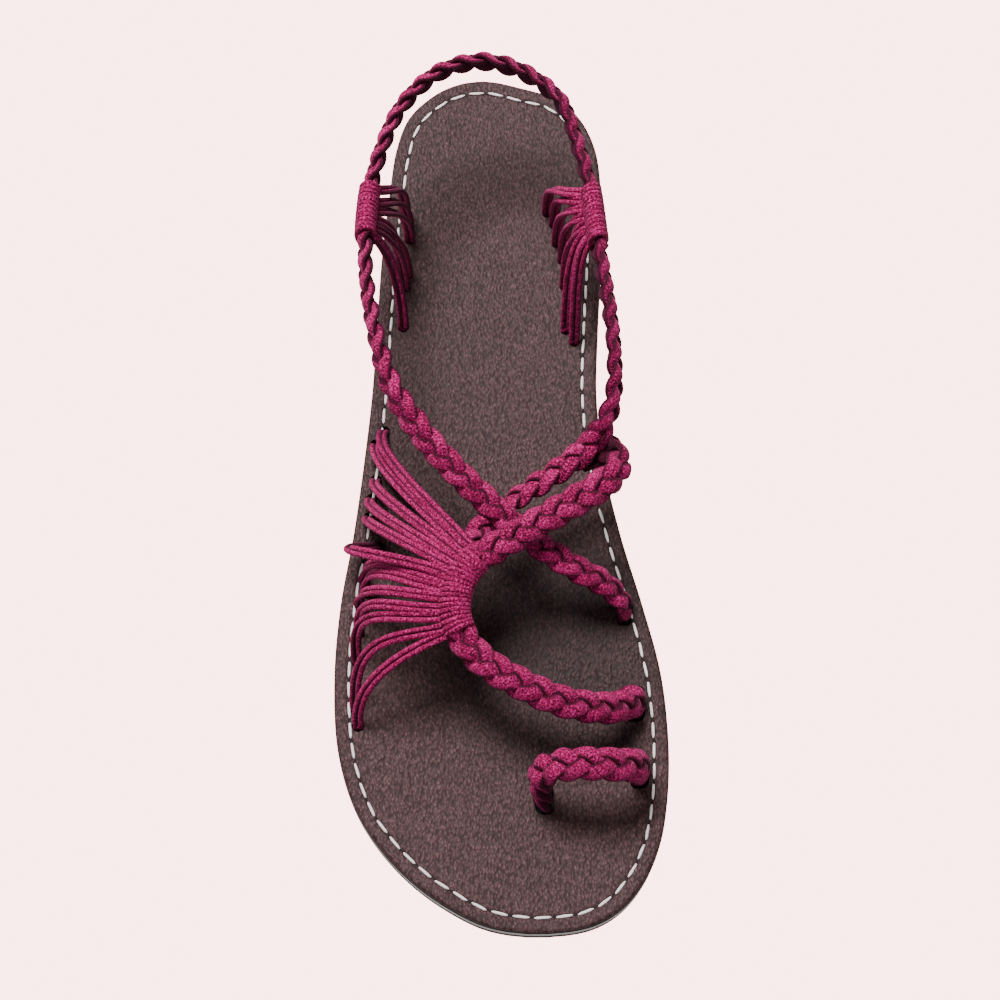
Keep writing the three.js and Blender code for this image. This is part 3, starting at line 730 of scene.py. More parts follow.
def cord_material(name, dark, base, light):
    material, tree, shader = new_material(name)
    yarn = tree.nodes.new("ShaderNodeAttribute")
    yarn.attribute_name = "yarn"
    knit = use_group(tree, KNIT, Yarn=yarn.outputs["Vector"], Place=object_place(tree))
    colour = ramp(tree, knit.outputs["Heather"], [(0.36, dark), (0.5, base), (0.64, light)])
    # Painted shade: the colour is mixed towards the dark tone in the stitch grooves and on the strands' sides
    # and underside, where shade falls.
    for mask, depth in (("Groove", GROOVE_SHADE), ("Edge", EDGE_SHADE)):
        colour = mix_colour(tree, math_node(tree, "MULTIPLY", knit.outputs[mask], depth), colour, dark)
    dress(shader, Base_Color=colour, Normal=bump(tree, knit.outputs["Height"], 0.9, 0.35 * MM),
          Roughness=0.82, Specular_IOR_Level=0.14, Sheen_Weight=0.12, Sheen_Roughness=0.5,
          Sheen_Tint=(1.0, 0.35, 0.6, 1))
    return material


RASPBERRY_CORD = cord_material("raspberry knitted cord", CORD_DARK_FIBRE_AND_SHADE, CORD_BASE, CORD_LIGHT)

# %% [markdown]
# ## Tubes
# A tube is swept along a line of places with an oval section. The section's frame is
# carried along from one step to the next, so a round cord doesn't twist, or it follows a
# given normal where the cord is part of a strap.

# %% Sweep a bundle of tubes into one piece
TUBE_SIDES = 8


def resampled(line, step):
    run = np.append(0, np.cumsum(np.linalg.norm(np.diff(line, axis=0), axis=1)))
    steps = np.linspace(0, run[-1], max(int(run[-1] / step), 2) + 1)
    return read_along(steps, run, line)


def carried_normals(line):
    """Normals that turn with the line and never twist about it."""
    tangent = unit(np.gradient(line, axis=0))
    normal = np.cross(tangent[0], [0, 1, 0.01])
    normals = []
    for direction in tangent:
        normal = normal - direction * normal.dot(direction)
        normal = normal / np.linalg.norm(normal)
        normals.append(normal)
    return np.array(normals)


def tube(line, width, height, up=None, own=0.0, sides=TUBE_SIDES, edge=1.0):
    """One closed tube: its points, faces, and the yarn attribute at each point."""
    tangent = unit(np.gradient(line, axis=0))
    up = carried_normals(line) if up is None else unit(up - tangent * (up * tangent).sum(1, keepdims=True))
    across = np.cross(up, tangent)
    turn = 2 * math.pi * np.arange(sides) / sides
    rings = [origin + np.outer(np.cos(turn) * width / 2, a) + np.outer(np.sin(turn) * height / 2, u)
             for origin, a, u in zip(line, across, up)]
    points, faces = skin(rings)
    run = np.append(0, np.cumsum(np.linalg.norm(np.diff(line, axis=0), axis=1)))
    # edge scales the fold, and with it how much painted shade falls on the tube's sides and underside.
    fold = edge * np.abs(np.mod(turn / (2 * math.pi) + 0.25, 1) * 2 - 1)
    yarn = np.column_stack([np.tile(fold, len(line)), np.repeat(run, sides), np.full(len(points), own)])
    last = len(points)
    points = np.vstack([points, line[0], line[-1]])
    yarn = np.vstack([yarn, [0.5, 0, own], [0.5, run[-1], own]])
    end = last - sides
    for i in range(sides):
        faces.append(((i + 1) % sides, i, last))
        faces.append((end + i, end + (i + 1) % sides, last + 1))
    return points, faces, yarn


def piece_from_tubes(name, tubes, material):
    points, faces, yarns, start = [], [], [], 0
    for tube_points, tube_faces, yarn in tubes:
        points.append(tube_points)
        yarns.append(yarn)
        faces += [tuple(start + v for v in face) for face in tube_faces]
        start += len(tube_points)
    obj = mesh_object(name, np.concatenate(points), faces, material)
    shape = bmesh.new()
    shape.from_mesh(obj.data)
    bmesh.ops.recalc_face_normals(shape, faces=shape.faces)
    shape.to_mesh(obj.data)
    shape.free()
    attribute = obj.data.attributes.new("yarn", "FLOAT_VECTOR", "POINT")
    attribute.data.foreach_set("vector", np.concatenate(yarns).ravel())
    print(name, "triangles:", 2 * len(faces))
    return obj


# %% [markdown]
# ## Braids
# A flat braid of three strands follows one rule. Each strand swings from edge to edge and
# passes over one neighbour and under the other, so its height goes through two waves for
# each swing. The three strands share the rule and start a third of a swing apart. Each
# strand is one flat knitted cord with a rounded back, so the braid shows plump leaf
# shapes with dark gaps between them. The cord's finish also darkens each strand's sides
# and underside as painted shade, which deepens these gaps.

# %% Braid maker
random_number = np.random.default_rng(11)
STRAND_SHARE = 0.46
STRAND_HEIGHT = 0.46
STRAND_TILT = 0.6
STRAND_SIDES = 20


def braid_tubes(part, width, thickness):
    strand_width = STRAND_SHARE * width
    strand_height = STRAND_HEIGHT * thickness
    sway = (width - strand_width) / 2
    weave = (thickness - strand_height) / 2
    tubes = []
    for strand in range(3):
        turn = 2 * math.pi * (part["steps"] / (3 * LOBE_PITCH) + strand / 3)
        middle = (part["origin"] + part["side"] * (sway * np.sin(turn))[:, None]
                  + part["face"] * (weave * np.sin(2 * turn))[:, None])
        tilt = STRAND_TILT * np.sin(turn)
        up = part["face"] * np.cos(tilt)[:, None] + part["side"] * np.sin(tilt)[:, None]
        tubes.append(tube(middle, strand_width, strand_height, up,
                          own=random_number.random(), sides=STRAND_SIDES))
    return tubes


OVERLAP = 0.012
forefoot_braid = piece_from_tubes("forefoot_braid", braid_tubes(
    stretch(FOREFOOT, -1, BINDING[0] + OVERLAP), BRAID_WIDTH, BRAID_THICKNESS), RASPBERRY_CORD)
instep_braid = piece_from_tubes("instep_braid", braid_tubes(
    stretch(FOREFOOT, BINDING[1] - OVERLAP, 2), BRAID_WIDTH, BRAID_THICKNESS), RASPBERRY_CORD)
heel_braid = piece_from_tubes("heel_strap_braid", braid_tubes(
    stretch(HEEL_STRAP, -1, 2), HEEL_STRAP_WIDTH, HEEL_STRAP_THICKNESS), RASPBERRY_CORD)
toe_braid = piece_from_tubes("toe_loop_braid", braid_tubes(
    stretch(TOE_LOOP, -1, 2), TOE_LOOP_WIDTH, TOE_LOOP_THICKNESS), RASPBERRY_CORD)

# %% [markdown]
# ## Side cords
# Each cord that shows is a pair of thin cords side by side through one hole. One thick
# tube would be simpler, but the dark line between the two is what shows from above.

# %% Side cord pairs
THIN_CORD = 1.5
# CORD_EDGE sets how much painted side shade the thin side cords get.
CORD_EDGE = 0.5


def cord_pair(line):
    line = resampled(line, 0.8)
    normals = carried_normals(line)
    tangent = unit(np.gradient(line, axis=0))
    level = np.cross(tangent, [0, 0, 1.0])
    upright = np.linalg.norm(level, axis=1, keepdims=True)
    across = unit(np.where(upright > 0.25, level, normals * 0.25 + level))
    across = unit(smooth_along(across, 5))
    pair = []
    for sign in (-1, 1):
        offset = across * sign * THIN_CORD * 0.52
        pair.append(tube(line + offset, THIN_CORD, THIN_CORD * 1.05,
                         own=random_number.random(), edge=CORD_EDGE))
    return pair


edge_cords, heel_cords = (
    piece_from_tubes(name, [t for line in routes for t in cord_pair(line)], RASPBERRY_CORD)
    for name, routes in (("instep_side_cords", edge_routes), ("heel_side_cords", heel_routes)))

# %% [markdown]
# ## Tight windings
# Three stretches of strap are bound: cord goes round and round them with each turn
# touching the last. Geometry Nodes suit this well. The tree takes the strap's middle line,
# winds a helix round it, and sweeps the cord's section along that helix.

# %% Geometry Nodes helpers
def geometry_tree(name, inputs):
    tree = bpy.data.node_groups.new(name, "GeometryNodeTree")
    tree.interface.new_socket(name="Geometry", in_out="INPUT", socket_type="NodeSocketGeometry")
    for label, kind, value in inputs:
        socket = tree.interface.new_socket(name=label, in_out="INPUT", socket_type=kind)
        if value is not None:
            socket.default_value = value
    tree.interface.new_socket(name="Geometry", in_out="OUTPUT", socket_type="NodeSocketGeometry")
    return tree, tree.nodes.new("NodeGroupInput"), tree.nodes.new("NodeGroupOutput")


def node(tree, kind, **sockets):
    """A node with inputs fed by name; underscores stand for spaces."""
    made = tree.nodes.new(kind)
    for label, value in sockets.items():
        feed(tree, made.inputs[label.replace("_", " ")], value)
    return made


def run_tree(obj, tree, **values):
    """Runs a geometry tree on the object and keeps the plain mesh."""
    modifier = obj.modifiers.new(tree.name, "NODES")
    modifier.node_group = tree
    for item in tree.interface.items_tree:
        if item.in_out == "INPUT" and item.name in values:
            modifier[item.identifier] = values[item.name]
    return keep_result(obj)


def line_object(name, places, closed=False):
    """A bare chain of edges that a tree can turn into a curve."""
    count = len(places)
    edges = [(i, i + 1) for i in range(count - 1)] + ([(count - 1, 0)] if closed else [])
    mesh = bpy.data.meshes.new(name)
    mesh.from_pydata((np.asarray(places) * MM).tolist(), edges, [])
    obj = bpy.data.objects.new(name, mesh)
    bpy.context.scene.collection.objects.link(obj)
    return obj


# %% Geometry tree: cord winding
def winding_tree():
    tree, given, result = geometry_tree("Cord winding", [
        ("Half Across", "NodeSocketFloat", 0.004),
        ("Half Upright", "NodeSocketFloat", 0.003),
        ("Turn Pitch", "NodeSocketFloat", 0.0017),
        ("Cord Radius", "NodeSocketFloat", 0.0009),
        ("Finish", "NodeSocketMaterial", None),
    ])
    curve = node(tree, "GeometryNodeMeshToCurve", Mesh=given.outputs["Geometry"])
    normal_mode = tree.nodes.new("GeometryNodeSetCurveNormal")
    normal_mode.mode = "Z_UP"
    tree.links.new(curve.outputs[0], normal_mode.inputs[0])
    length = node(tree, "GeometryNodeCurveLength", Curve=normal_mode.outputs[0]).outputs[0]
    turns = math_node(tree, "DIVIDE", length, given.outputs["Turn Pitch"])
    resample = node(tree, "GeometryNodeResampleCurve", Curve=normal_mode.outputs[0],
                    Count=math_node(tree, "MULTIPLY", turns, 18.0))
    parameter = tree.nodes.new("GeometryNodeSplineParameter")
    turned = math_node(tree, "MULTIPLY", parameter.outputs["Factor"], turns)
    angle = math_node(tree, "MULTIPLY", turned, 2 * math.pi)
    normal = tree.nodes.new("GeometryNodeInputNormal").outputs[0]
    tangent = tree.nodes.new("GeometryNodeInputTangent").outputs[0]
    binormal = vector_node(tree, "CROSS_PRODUCT", tangent, normal)
    across = math_node(tree, "MULTIPLY", math_node(tree, "COSINE", angle), given.outputs["Half Across"])
    upright = math_node(tree, "MULTIPLY", math_node(tree, "SINE", angle), given.outputs["Half Upright"])

    def scaled(vector, share):
        made = tree.nodes.new("ShaderNodeVectorMath")
        made.operation = "SCALE"
        tree.links.new(vector, made.inputs[0])
        tree.links.new(share, made.inputs["Scale"])
        return made.outputs[0]

    offset = vector_node(tree, "ADD", scaled(normal, across), scaled(binormal, upright))
    helix = node(tree, "GeometryNodeSetPosition", Geometry=resample.outputs[0], Offset=offset)
    smooth = tree.nodes.new("GeometryNodeSetCurveNormal")
    smooth.mode = "MINIMUM_TWIST"
    tree.links.new(helix.outputs[0], smooth.inputs[0])
    rail = tree.nodes.new("GeometryNodeStoreNamedAttribute")
    rail.data_type = "FLOAT"
    rail.domain = "POINT"
    dress(rail, Geometry=smooth.outputs[0], Name="run",
          Value=tree.nodes.new("GeometryNodeSplineParameter").outputs["Length"])
    circle = node(tree, "GeometryNodeCurvePrimitiveCircle", Resolution=TUBE_SIDES,
                  Radius=given.outputs["Cord Radius"])
    mesh = node(tree, "GeometryNodeCurveToMesh", Curve=rail.outputs[0],
                Profile_Curve=circle.outputs[0], Fill_Caps=True)
    smooth_faces = node(tree, "GeometryNodeSetShadeSmooth", Geometry=mesh.outputs[0])
    painted = node(tree, "GeometryNodeSetMaterial", Geometry=smooth_faces.outputs[0],
                   Material=given.outputs["Finish"])
    real = node(tree, "GeometryNodeRealizeInstances", Geometry=painted.outputs[0])
    tree.links.new(real.outputs[0], result.inputs[0])
    return tree


WINDING_TREE = winding_tree()
WINDING_PITCH, WINDING_RADIUS = 1.25, 0.72
# WINDING_EDGE sets how much painted side shade the windings get.
WINDING_EDGE = 0.2
TONE_RUN = 24


def add_yarn_from_run(obj):
    """Turns the stored distance along the winding into the yarn attribute."""
    mesh = obj.data
    count = len(mesh.vertices)
    run = np.zeros(count)
    mesh.attributes["run"].data.foreach_get("value", run)
    fold = WINDING_EDGE * np.abs(np.mod(np.arange(count) / TUBE_SIDES, 1) * 2 - 1)
    yarn = np.column_stack([fold, run / MM, np.floor(run / MM / TONE_RUN) % 3 / 3])
    attribute = mesh.attributes.new("yarn", "FLOAT_VECTOR", "POINT")
    attribute.data.foreach_set("vector", yarn.ravel())


def winding(name, path, span, half_across, half_upright):
    part = stretch(path, *span)
    obj = line_object(name, part["origin"])
    run_tree(obj, WINDING_TREE, **{
        "Half Across": half_across * MM, "Half Upright": half_upright * MM,
        "Turn Pitch": WINDING_PITCH * MM, "Cord Radius": WINDING_RADIUS * MM, "Finish": RASPBERRY_CORD,
    })
    add_yarn_from_run(obj)
    print(name, "faces:", len(obj.data.polygons))
    return obj


WOUND = 0.45
binding = winding("instep_binding", FOREFOOT, BINDING,
                  BINDING_WIDTH / 2 - WOUND, BINDING_THICKNESS / 2 - WOUND)
outer_winding = winding("outer_heel_winding", HEEL_STRAP, OUTER_WINDING,
                        HEEL_STRAP_THICKNESS / 2 + WOUND, HEEL_STRAP_WIDTH / 2 + WOUND)
inner_winding = winding("inner_heel_winding", HEEL_STRAP, INNER_WINDING,
                        HEEL_STRAP_THICKNESS / 2 + WOUND, HEEL_STRAP_WIDTH / 2 + WOUND)

# %% [markdown]
# ## Leather footbed
# The top is soft brown leather with a pebbled grain. Its edge is rounded, and a lockstitch
# runs round it 4 mm in, in a shallow pressed groove. Grain is too fine for faces, so it is
# bump: cells of a Voronoi texture, stretched one way, with finer noise over them. The
# raised parts are polished a little lighter, and the dips stay dark.

# %% Node group: pebbled grain
def grain_group():
    group, given, result = new_group(
        "Pebbled grain",
        [("Place", "NodeSocketVector", None), ("Pebble Scale", "NodeSocketFloat", 1500.0)],
        [("Height", "NodeSocketFloat"), ("Pits", "NodeSocketFloat"), ("Cloud", "NodeSocketFloat")],
    )
    mapping = group.nodes.new("ShaderNodeMapping")
    dress(mapping, Vector=given.outputs["Place"], Rotation=(0, 0, math.radians(-24)),
          Scale=(1.0, 0.6, 1.0))
    warp = group.nodes.new("ShaderNodeTexNoise")
    dress(warp, Vector=mapping.outputs[0], Scale=700.0)
    bent = vector_node(group, "MULTIPLY_ADD", warp.outputs["Color"], (0.0007, 0.0007, 0.0),
                       mapping.outputs[0])
    cells = group.nodes.new("ShaderNodeTexVoronoi")
    cells.feature = "F1"
    dress(cells, Vector=bent, Scale=given.outputs["Pebble Scale"])
    pebble = math_node(group, "SUBTRACT", 1.0, cells.outputs["Distance"])
    fine = noise(group, given.outputs["Place"], 2400.0, detail=4.0, roughness=0.65)
    creases = noise(group, mapping.outputs[0], 950.0, detail=5.0, roughness=0.6)
    height = math_node(group, "ADD", math_node(group, "MULTIPLY", pebble, 0.7),
                       math_node(group, "MULTIPLY", fine, 0.25))
    height = math_node(group, "ADD", height, math_node(group, "MULTIPLY", creases, 0.8))
    dress(result, Height=height, Pits=math_node(group, "MULTIPLY_ADD", height, 1.5, -1.0, clamp=True),
          Cloud=noise(group, given.outputs["Place"], 26.0, detail=3.0))
    return group


GRAIN = grain_group()

# %% [markdown]
# ## Painted shade on the footbed
# The leather's colour is painted darker where shade falls under and between the straps:
# most in the loop over the ball, and lightly from the arch to the heel. It is painted
# shade, not wear. A mask made from the sole's own coordinates needs no picture, and noise
# gives it an uneven edge.

# %% Mask: painted shade
BALL_SHADE_SPOT = ((0.015, -0.136, 0.0), (0.03, 0.032, 1.0))
HEEL_SHADE_FROM, HEEL_SHADE_TO = -0.105, -0.07
HEEL_SHADE_DEPTH = 0.42
PAINTED_SHADE_TINT = (0.46, 0.37, 0.4)


def painted_shade_mask(tree, place):
    """A mask over the sole for painted shade: 0 where the leather keeps its own colour, 1 where the shade is
    painted darkest.
    """
    middle, reach = BALL_SHADE_SPOT
    offset = vector_node(tree, "DIVIDE", vector_node(tree, "SUBTRACT", place, middle), reach)
    length = tree.nodes.new("ShaderNodeVectorMath")
    length.operation = "LENGTH"
    tree.links.new(offset, length.inputs[0])
    uneven = math_node(tree, "MULTIPLY_ADD", noise(tree, place, 60.0), 0.5, -0.25)
    away = math_node(tree, "ADD", length.outputs["Value"], uneven)
    ball = math_node(tree, "SUBTRACT", 1.5, away, clamp=True)
    split = tree.nodes.new("ShaderNodeSeparateXYZ")
    tree.links.new(place, split.inputs[0])
    heel = smooth_step(tree, split.outputs[1], HEEL_SHADE_FROM, HEEL_SHADE_TO, HEEL_SHADE_DEPTH)
    return math_node(tree, "MAXIMUM", ball, heel)


# %% Leather finish
def leather_material():
    material, tree, shader = new_material("brown pebbled leather")
    place = object_place(tree)
    grain = use_group(tree, GRAIN, Place=place)
    colour = ramp(tree, grain.outputs["Pits"], [(0.0, (0.03, 0.0095, 0.011)), (0.55, (0.082, 0.033, 0.036)),
                                                (1.0, (0.2, 0.105, 0.11))])
    clouds = ramp(tree, grain.outputs["Cloud"], [(0.3, (0.82, 0.82, 0.82)), (0.7, (1.0, 1.0, 1.0))])
    colour = mix_colour(tree, 1.0, colour, clouds, "MULTIPLY")
    # Painted shade: the leather's colour is multiplied darker under and between the straps.
    painted_shade = ramp(tree, painted_shade_mask(tree, place), [(0.0, (1.0, 1.0, 1.0)), (1.0, PAINTED_SHADE_TINT)])
    colour = mix_colour(tree, 1.0, colour, painted_shade, "MULTIPLY")
    tree.links.new(colour, shader.inputs["Base Color"])
    rough = math_node(tree, "MULTIPLY_ADD", grain.outputs["Pits"], -0.14, 0.62)
    dress(shader, Roughness=rough, Normal=bump(tree, grain.outputs["Height"], 0.75, 0.45 * MM),
          Specular_IOR_Level=0.32)
    return material


LEATHER = leather_material()

# %% Footbed mesh
SEAM_INSET = 4.0
SEAM_DEPTH = 0.35


def layer_rings(bottom, top, side, inner_shares=(0.2, 0.4, 0.6, 0.8, 1.0), top_insets=()):
    """Rings from the bottom's middle line out, up the side, and back in over the top."""
    first, last = side[0], side[-1]
    rings = [sole_ring(first[0], share, bottom) for share in inner_shares[::-1]]
    rings += [sole_ring(inset, 0, top if upper else bottom, raised) for inset, upper, raised in side]
    rings += [sole_ring(inset, 0, top, raised) for inset, raised in top_insets]
    start = top_insets[-1][0] if top_insets else last[0]
    rings += [sole_ring(start, share, top) for share in inner_shares]
    return rings


RIM_STEPS = 5


def rounded_edge(radius):
    """The quarter round at the top of a side, as (inset, upper, raised) rows."""
    turns = np.linspace(0, math.pi / 2, RIM_STEPS)
    return [(radius * (1 - math.cos(t)), True, radius * (math.sin(t) - 1)) for t in turns]


GROOVE_ROWS = [(SEAM_INSET + d, -SEAM_DEPTH * math.cos(math.pi * d / 1.8) ** 2 if abs(d) < 0.9 else 0.0)
               for d in (-1.6, -0.9, -0.6, -0.3, 0.0, 0.3, 0.6, 0.9, 1.6)]
footbed_points, footbed_faces = skin(layer_rings(
    footbed_bottom, footbed_top,
    [(0.0, False, 0.0), *rounded_edge(RIM_RADIUS)],
    inner_shares=tuple(np.linspace(0.08, 1, 12)),
    top_insets=[(2.0, 0.0), *GROOVE_ROWS, (7.5, 0.0)],
))
footbed = mesh_object("footbed_leather", footbed_points, footbed_faces, LEATHER, merge=1e-4)


PLUG_BELOW, PLUG_ABOVE = 4, 3
SLOT_POINTS, HOLE_POINTS = 20, 14
SLOT_POWER = 0.6


def oval(place, side, face, width, thickness):
    """A slot's outline seen from above."""
    turn = 2 * math.pi * np.arange(SLOT_POINTS) / SLOT_POINTS
    across = np.sign(np.cos(turn)) * np.abs(np.cos(turn)) ** SLOT_POWER * (width / 2 + SLOT_CLEARANCE)
    deep = np.sign(np.sin(turn)) * np.abs(np.sin(turn)) ** SLOT_POWER * (thickness / 2 + SLOT_CLEARANCE)
    return place[:2] + np.outer(across, side[:2]) + np.outer(deep, face[:2])


def slot_plug(path, share, width, thickness):
    at = frame_at(path, share)
    outline = oval(at["origin"], at["side"], at["face"], width, thickness)
    return prism(outline, at["origin"][2] - PLUG_BELOW, at["origin"][2] + PLUG_ABOVE)


def hole_plug(line):
    place = line[1]
    turn = 2 * math.pi * np.arange(HOLE_POINTS) / HOLE_POINTS
    radius = CORD_DIAMETER / 2 + SLOT_CLEARANCE
    outline = place[:2] + radius * np.column_stack([np.cos(turn), np.sin(turn)])
    return prism(outline, place[2] - PLUG_BELOW, place[2] + PLUG_ABOVE)


plugs = [
    slot_plug(FOREFOOT, 0.0, BRAID_WIDTH, BRAID_THICKNESS),
    slot_plug(HEEL_STRAP, 0.0, HEEL_STRAP_WIDTH, HEEL_STRAP_THICKNESS),
    slot_plug(TOE_LOOP, 0.0, TOE_LOOP_WIDTH, TOE_LOOP_THICKNESS),
    slot_plug(TOE_LOOP, 1.0, TOE_LOOP_WIDTH, TOE_LOOP_THICKNESS),
    *[hole_plug(line) for line in edge_routes + heel_routes],
]
cut(footbed, plugs)
crease(footbed, 35)
print("footbed faces:", len(footbed.data.polygons))

# %% [markdown]
# ## Lockstitch
# The white thread shows as short dashes with a needle hole between them. The holes are not
# cut: a small, flat, near-black dash of painted shade sits at each one. One tree places both:
# it walks the seam in steps of the stitch pitch and puts a thread dash, or a shade dash, at each step.

# %% Thread finish, and painted shade for the needle holes
def thread_material():
    material, tree, shader = new_material("off-white waxed thread")
    place = object_place(tree)
    fleck = noise(tree, place, 1800.0, detail=2.0)
    colour = ramp(tree, fleck, [(0.2, (0.78, 0.73, 0.71)), (0.5, (0.97, 0.93, 0.91))])
    dress(shader, Base_Color=colour, Normal=bump(tree, fleck, 0.5, 0.15 * MM), Roughness=0.6)
    return material


def needle_hole_shade_material():
    # Painted shade: a near-black finish stands for the shade inside each needle hole.
    material, tree, shader = new_material("needle hole")
    fleck = noise(tree, object_place(tree), 1500.0)
    colour = ramp(tree, fleck, [(0.3, (0.004, 0.003, 0.003)), (0.7, (0.016, 0.011, 0.011))])
    dress(shader, Base_Color=colour, Roughness=0.9)
    return material


THREAD = thread_material()
NEEDLE_HOLE_SHADE = needle_hole_shade_material()


# %% Geometry tree: stitches along a seam
STITCH_STEPS, STITCH_SIDES = 9, 8
STITCH_SINK = 0.1
STITCH_WOBBLE = 0.06


def stitch_tree():
    tree, given, result = geometry_tree("Seam stitches", [
        ("Stitch Pitch", "NodeSocketFloat", 0.0055),
        ("Stitch Length", "NodeSocketFloat", 0.0046),
        ("Thread Thickness", "NodeSocketFloat", 0.0011),
        ("Flatness", "NodeSocketFloat", 0.7),
        ("Start", "NodeSocketFloat", 0.0),
        ("Seed", "NodeSocketInt", 3),
        ("Finish", "NodeSocketMaterial", None),
    ])
    seam = node(tree, "GeometryNodeMeshToCurve", Mesh=given.outputs["Geometry"]).outputs[0]
    length = node(tree, "GeometryNodeCurveLength", Curve=seam).outputs[0]
    count = math_node(tree, "ROUND", math_node(tree, "DIVIDE", length, given.outputs["Stitch Pitch"]))
    index = tree.nodes.new("GeometryNodeInputIndex").outputs[0]
    dots = node(tree, "GeometryNodePoints", Count=count).outputs[0]
    number = math_node(tree, "ADD", index, given.outputs["Start"])
    share = math_node(tree, "FRACT", math_node(tree, "DIVIDE", number, count))
    sample = tree.nodes.new("GeometryNodeSampleCurve")
    sample.mode = "FACTOR"
    dress(sample, Curves=seam, Factor=share)
    placed = node(tree, "GeometryNodeSetPosition", Geometry=dots,
                  Position=sample.outputs["Position"]).outputs[0]
    line = node(tree, "GeometryNodeCurvePrimitiveLine", Start=(-0.5, 0, 0), End=(0.5, 0, 0)).outputs[0]
    fine_line = node(tree, "GeometryNodeResampleCurve", Curve=line, Count=STITCH_STEPS).outputs[0]
    spot = tree.nodes.new("GeometryNodeSplineParameter").outputs["Factor"]
    centred = math_node(tree, "ABSOLUTE", math_node(tree, "MULTIPLY_ADD", spot, 2.0, -1.0))
    thick = math_node(tree, "SQRT", math_node(tree, "SUBTRACT", 1.03, math_node(tree, "POWER", centred, 4.0)))
    sunk = math_node(tree, "MULTIPLY", math_node(tree, "POWER", centred, 3.0), -STITCH_SINK)
    drop = tree.nodes.new("ShaderNodeCombineXYZ")
    tree.links.new(sunk, drop.inputs[2])
    bowed = node(tree, "GeometryNodeSetPosition", Geometry=fine_line, Offset=drop.outputs[0]).outputs[0]
    ring = node(tree, "GeometryNodeCurvePrimitiveCircle", Resolution=STITCH_SIDES, Radius=0.5).outputs[0]
    body = tree.nodes.new("GeometryNodeCurveToMesh")
    dress(body, Curve=bowed, Profile_Curve=ring, Scale=thick, Fill_Caps=True)
    soft = node(tree, "GeometryNodeSetShadeSmooth", Geometry=body.outputs[0]).outputs[0]
    turned = tree.nodes.new("FunctionNodeAlignRotationToVector")
    turned.axis = "X"
    tree.links.new(sample.outputs["Tangent"], turned.inputs["Vector"])
    wobble = tree.nodes.new("FunctionNodeRandomValue")
    wobble.data_type = "FLOAT"
    feed(tree, wobble.inputs[2], -STITCH_WOBBLE)
    feed(tree, wobble.inputs[3], STITCH_WOBBLE)
    tree.links.new(given.outputs["Seed"], wobble.inputs["Seed"])
    twist = tree.nodes.new("ShaderNodeCombineXYZ")
    tree.links.new(wobble.outputs[1], twist.inputs[2])
    rotate = tree.nodes.new("FunctionNodeRotateRotation")
    tree.links.new(turned.outputs[0], rotate.inputs[0])
    tree.links.new(twist.outputs[0], rotate.inputs[1])
    size = tree.nodes.new("ShaderNodeCombineXYZ")
    tree.links.new(given.outputs["Stitch Length"], size.inputs[0])
    tree.links.new(given.outputs["Thread Thickness"], size.inputs[1])
    height = math_node(tree, "MULTIPLY", given.outputs["Thread Thickness"], given.outputs["Flatness"])
    tree.links.new(height, size.inputs[2])
    stitches = node(tree, "GeometryNodeInstanceOnPoints", Points=placed, Instance=soft,
                    Rotation=rotate.outputs[0], Scale=size.outputs[0]).outputs[0]
    real = node(tree, "GeometryNodeRealizeInstances", Geometry=stitches).outputs[0]
    painted = node(tree, "GeometryNodeSetMaterial", Geometry=real,
                   Material=given.outputs["Finish"]).outputs[0]
    tree.links.new(painted, result.inputs[0])
    return tree


STITCH_TREE = stitch_tree()
STITCH_PITCH = 5.6
STITCH_LENGTH, THREAD_THICKNESS, THREAD_FLATNESS = 4.2, 0.78, 0.8
HOLE_LENGTH, HOLE_WIDTH, HOLE_FLATNESS = 1.0, 0.9, 0.3


def along_seam(name, raised, start, length, thickness, flatness, finish):
    obj = line_object(name, sole_ring(SEAM_INSET, 0, footbed_top, raised), closed=True)
    run_tree(obj, STITCH_TREE, **{
        "Stitch Pitch": STITCH_PITCH * MM, "Stitch Length": length * MM, "Thread Thickness": thickness * MM,
        "Flatness": flatness, "Start": start, "Seed": 3, "Finish": finish,
    })
    print(name, "faces:", len(obj.data.polygons))
    return obj


stitching = along_seam("seam_stitches", -SEAM_DEPTH + 0.3, 0.0,
                       STITCH_LENGTH, THREAD_THICKNESS, THREAD_FLATNESS, THREAD)
# Painted shade: dark dashes placed where the needle holes are.
needle_hole_shade = along_seam("seam_needle_hole_shade", -SEAM_DEPTH + 0.02, 0.5,
                          HOLE_LENGTH, HOLE_WIDTH, HOLE_FLATNESS, NEEDLE_HOLE_SHADE)

# %% [markdown]
# ## Midsole and outsole
# The midsole is pale closed-cell foam, cut with a blade, so its side shows fine bubbles and
# slight waves. Its top is painted nearly black as painted shade, so the holes in the leather
# look dark. The outsole is dark rubber with cross grooves under the ball and the heel.

# %% Foam and rubber finishes
PAINTED_HOLE_SHADE = (0.012, 0.008, 0.009)


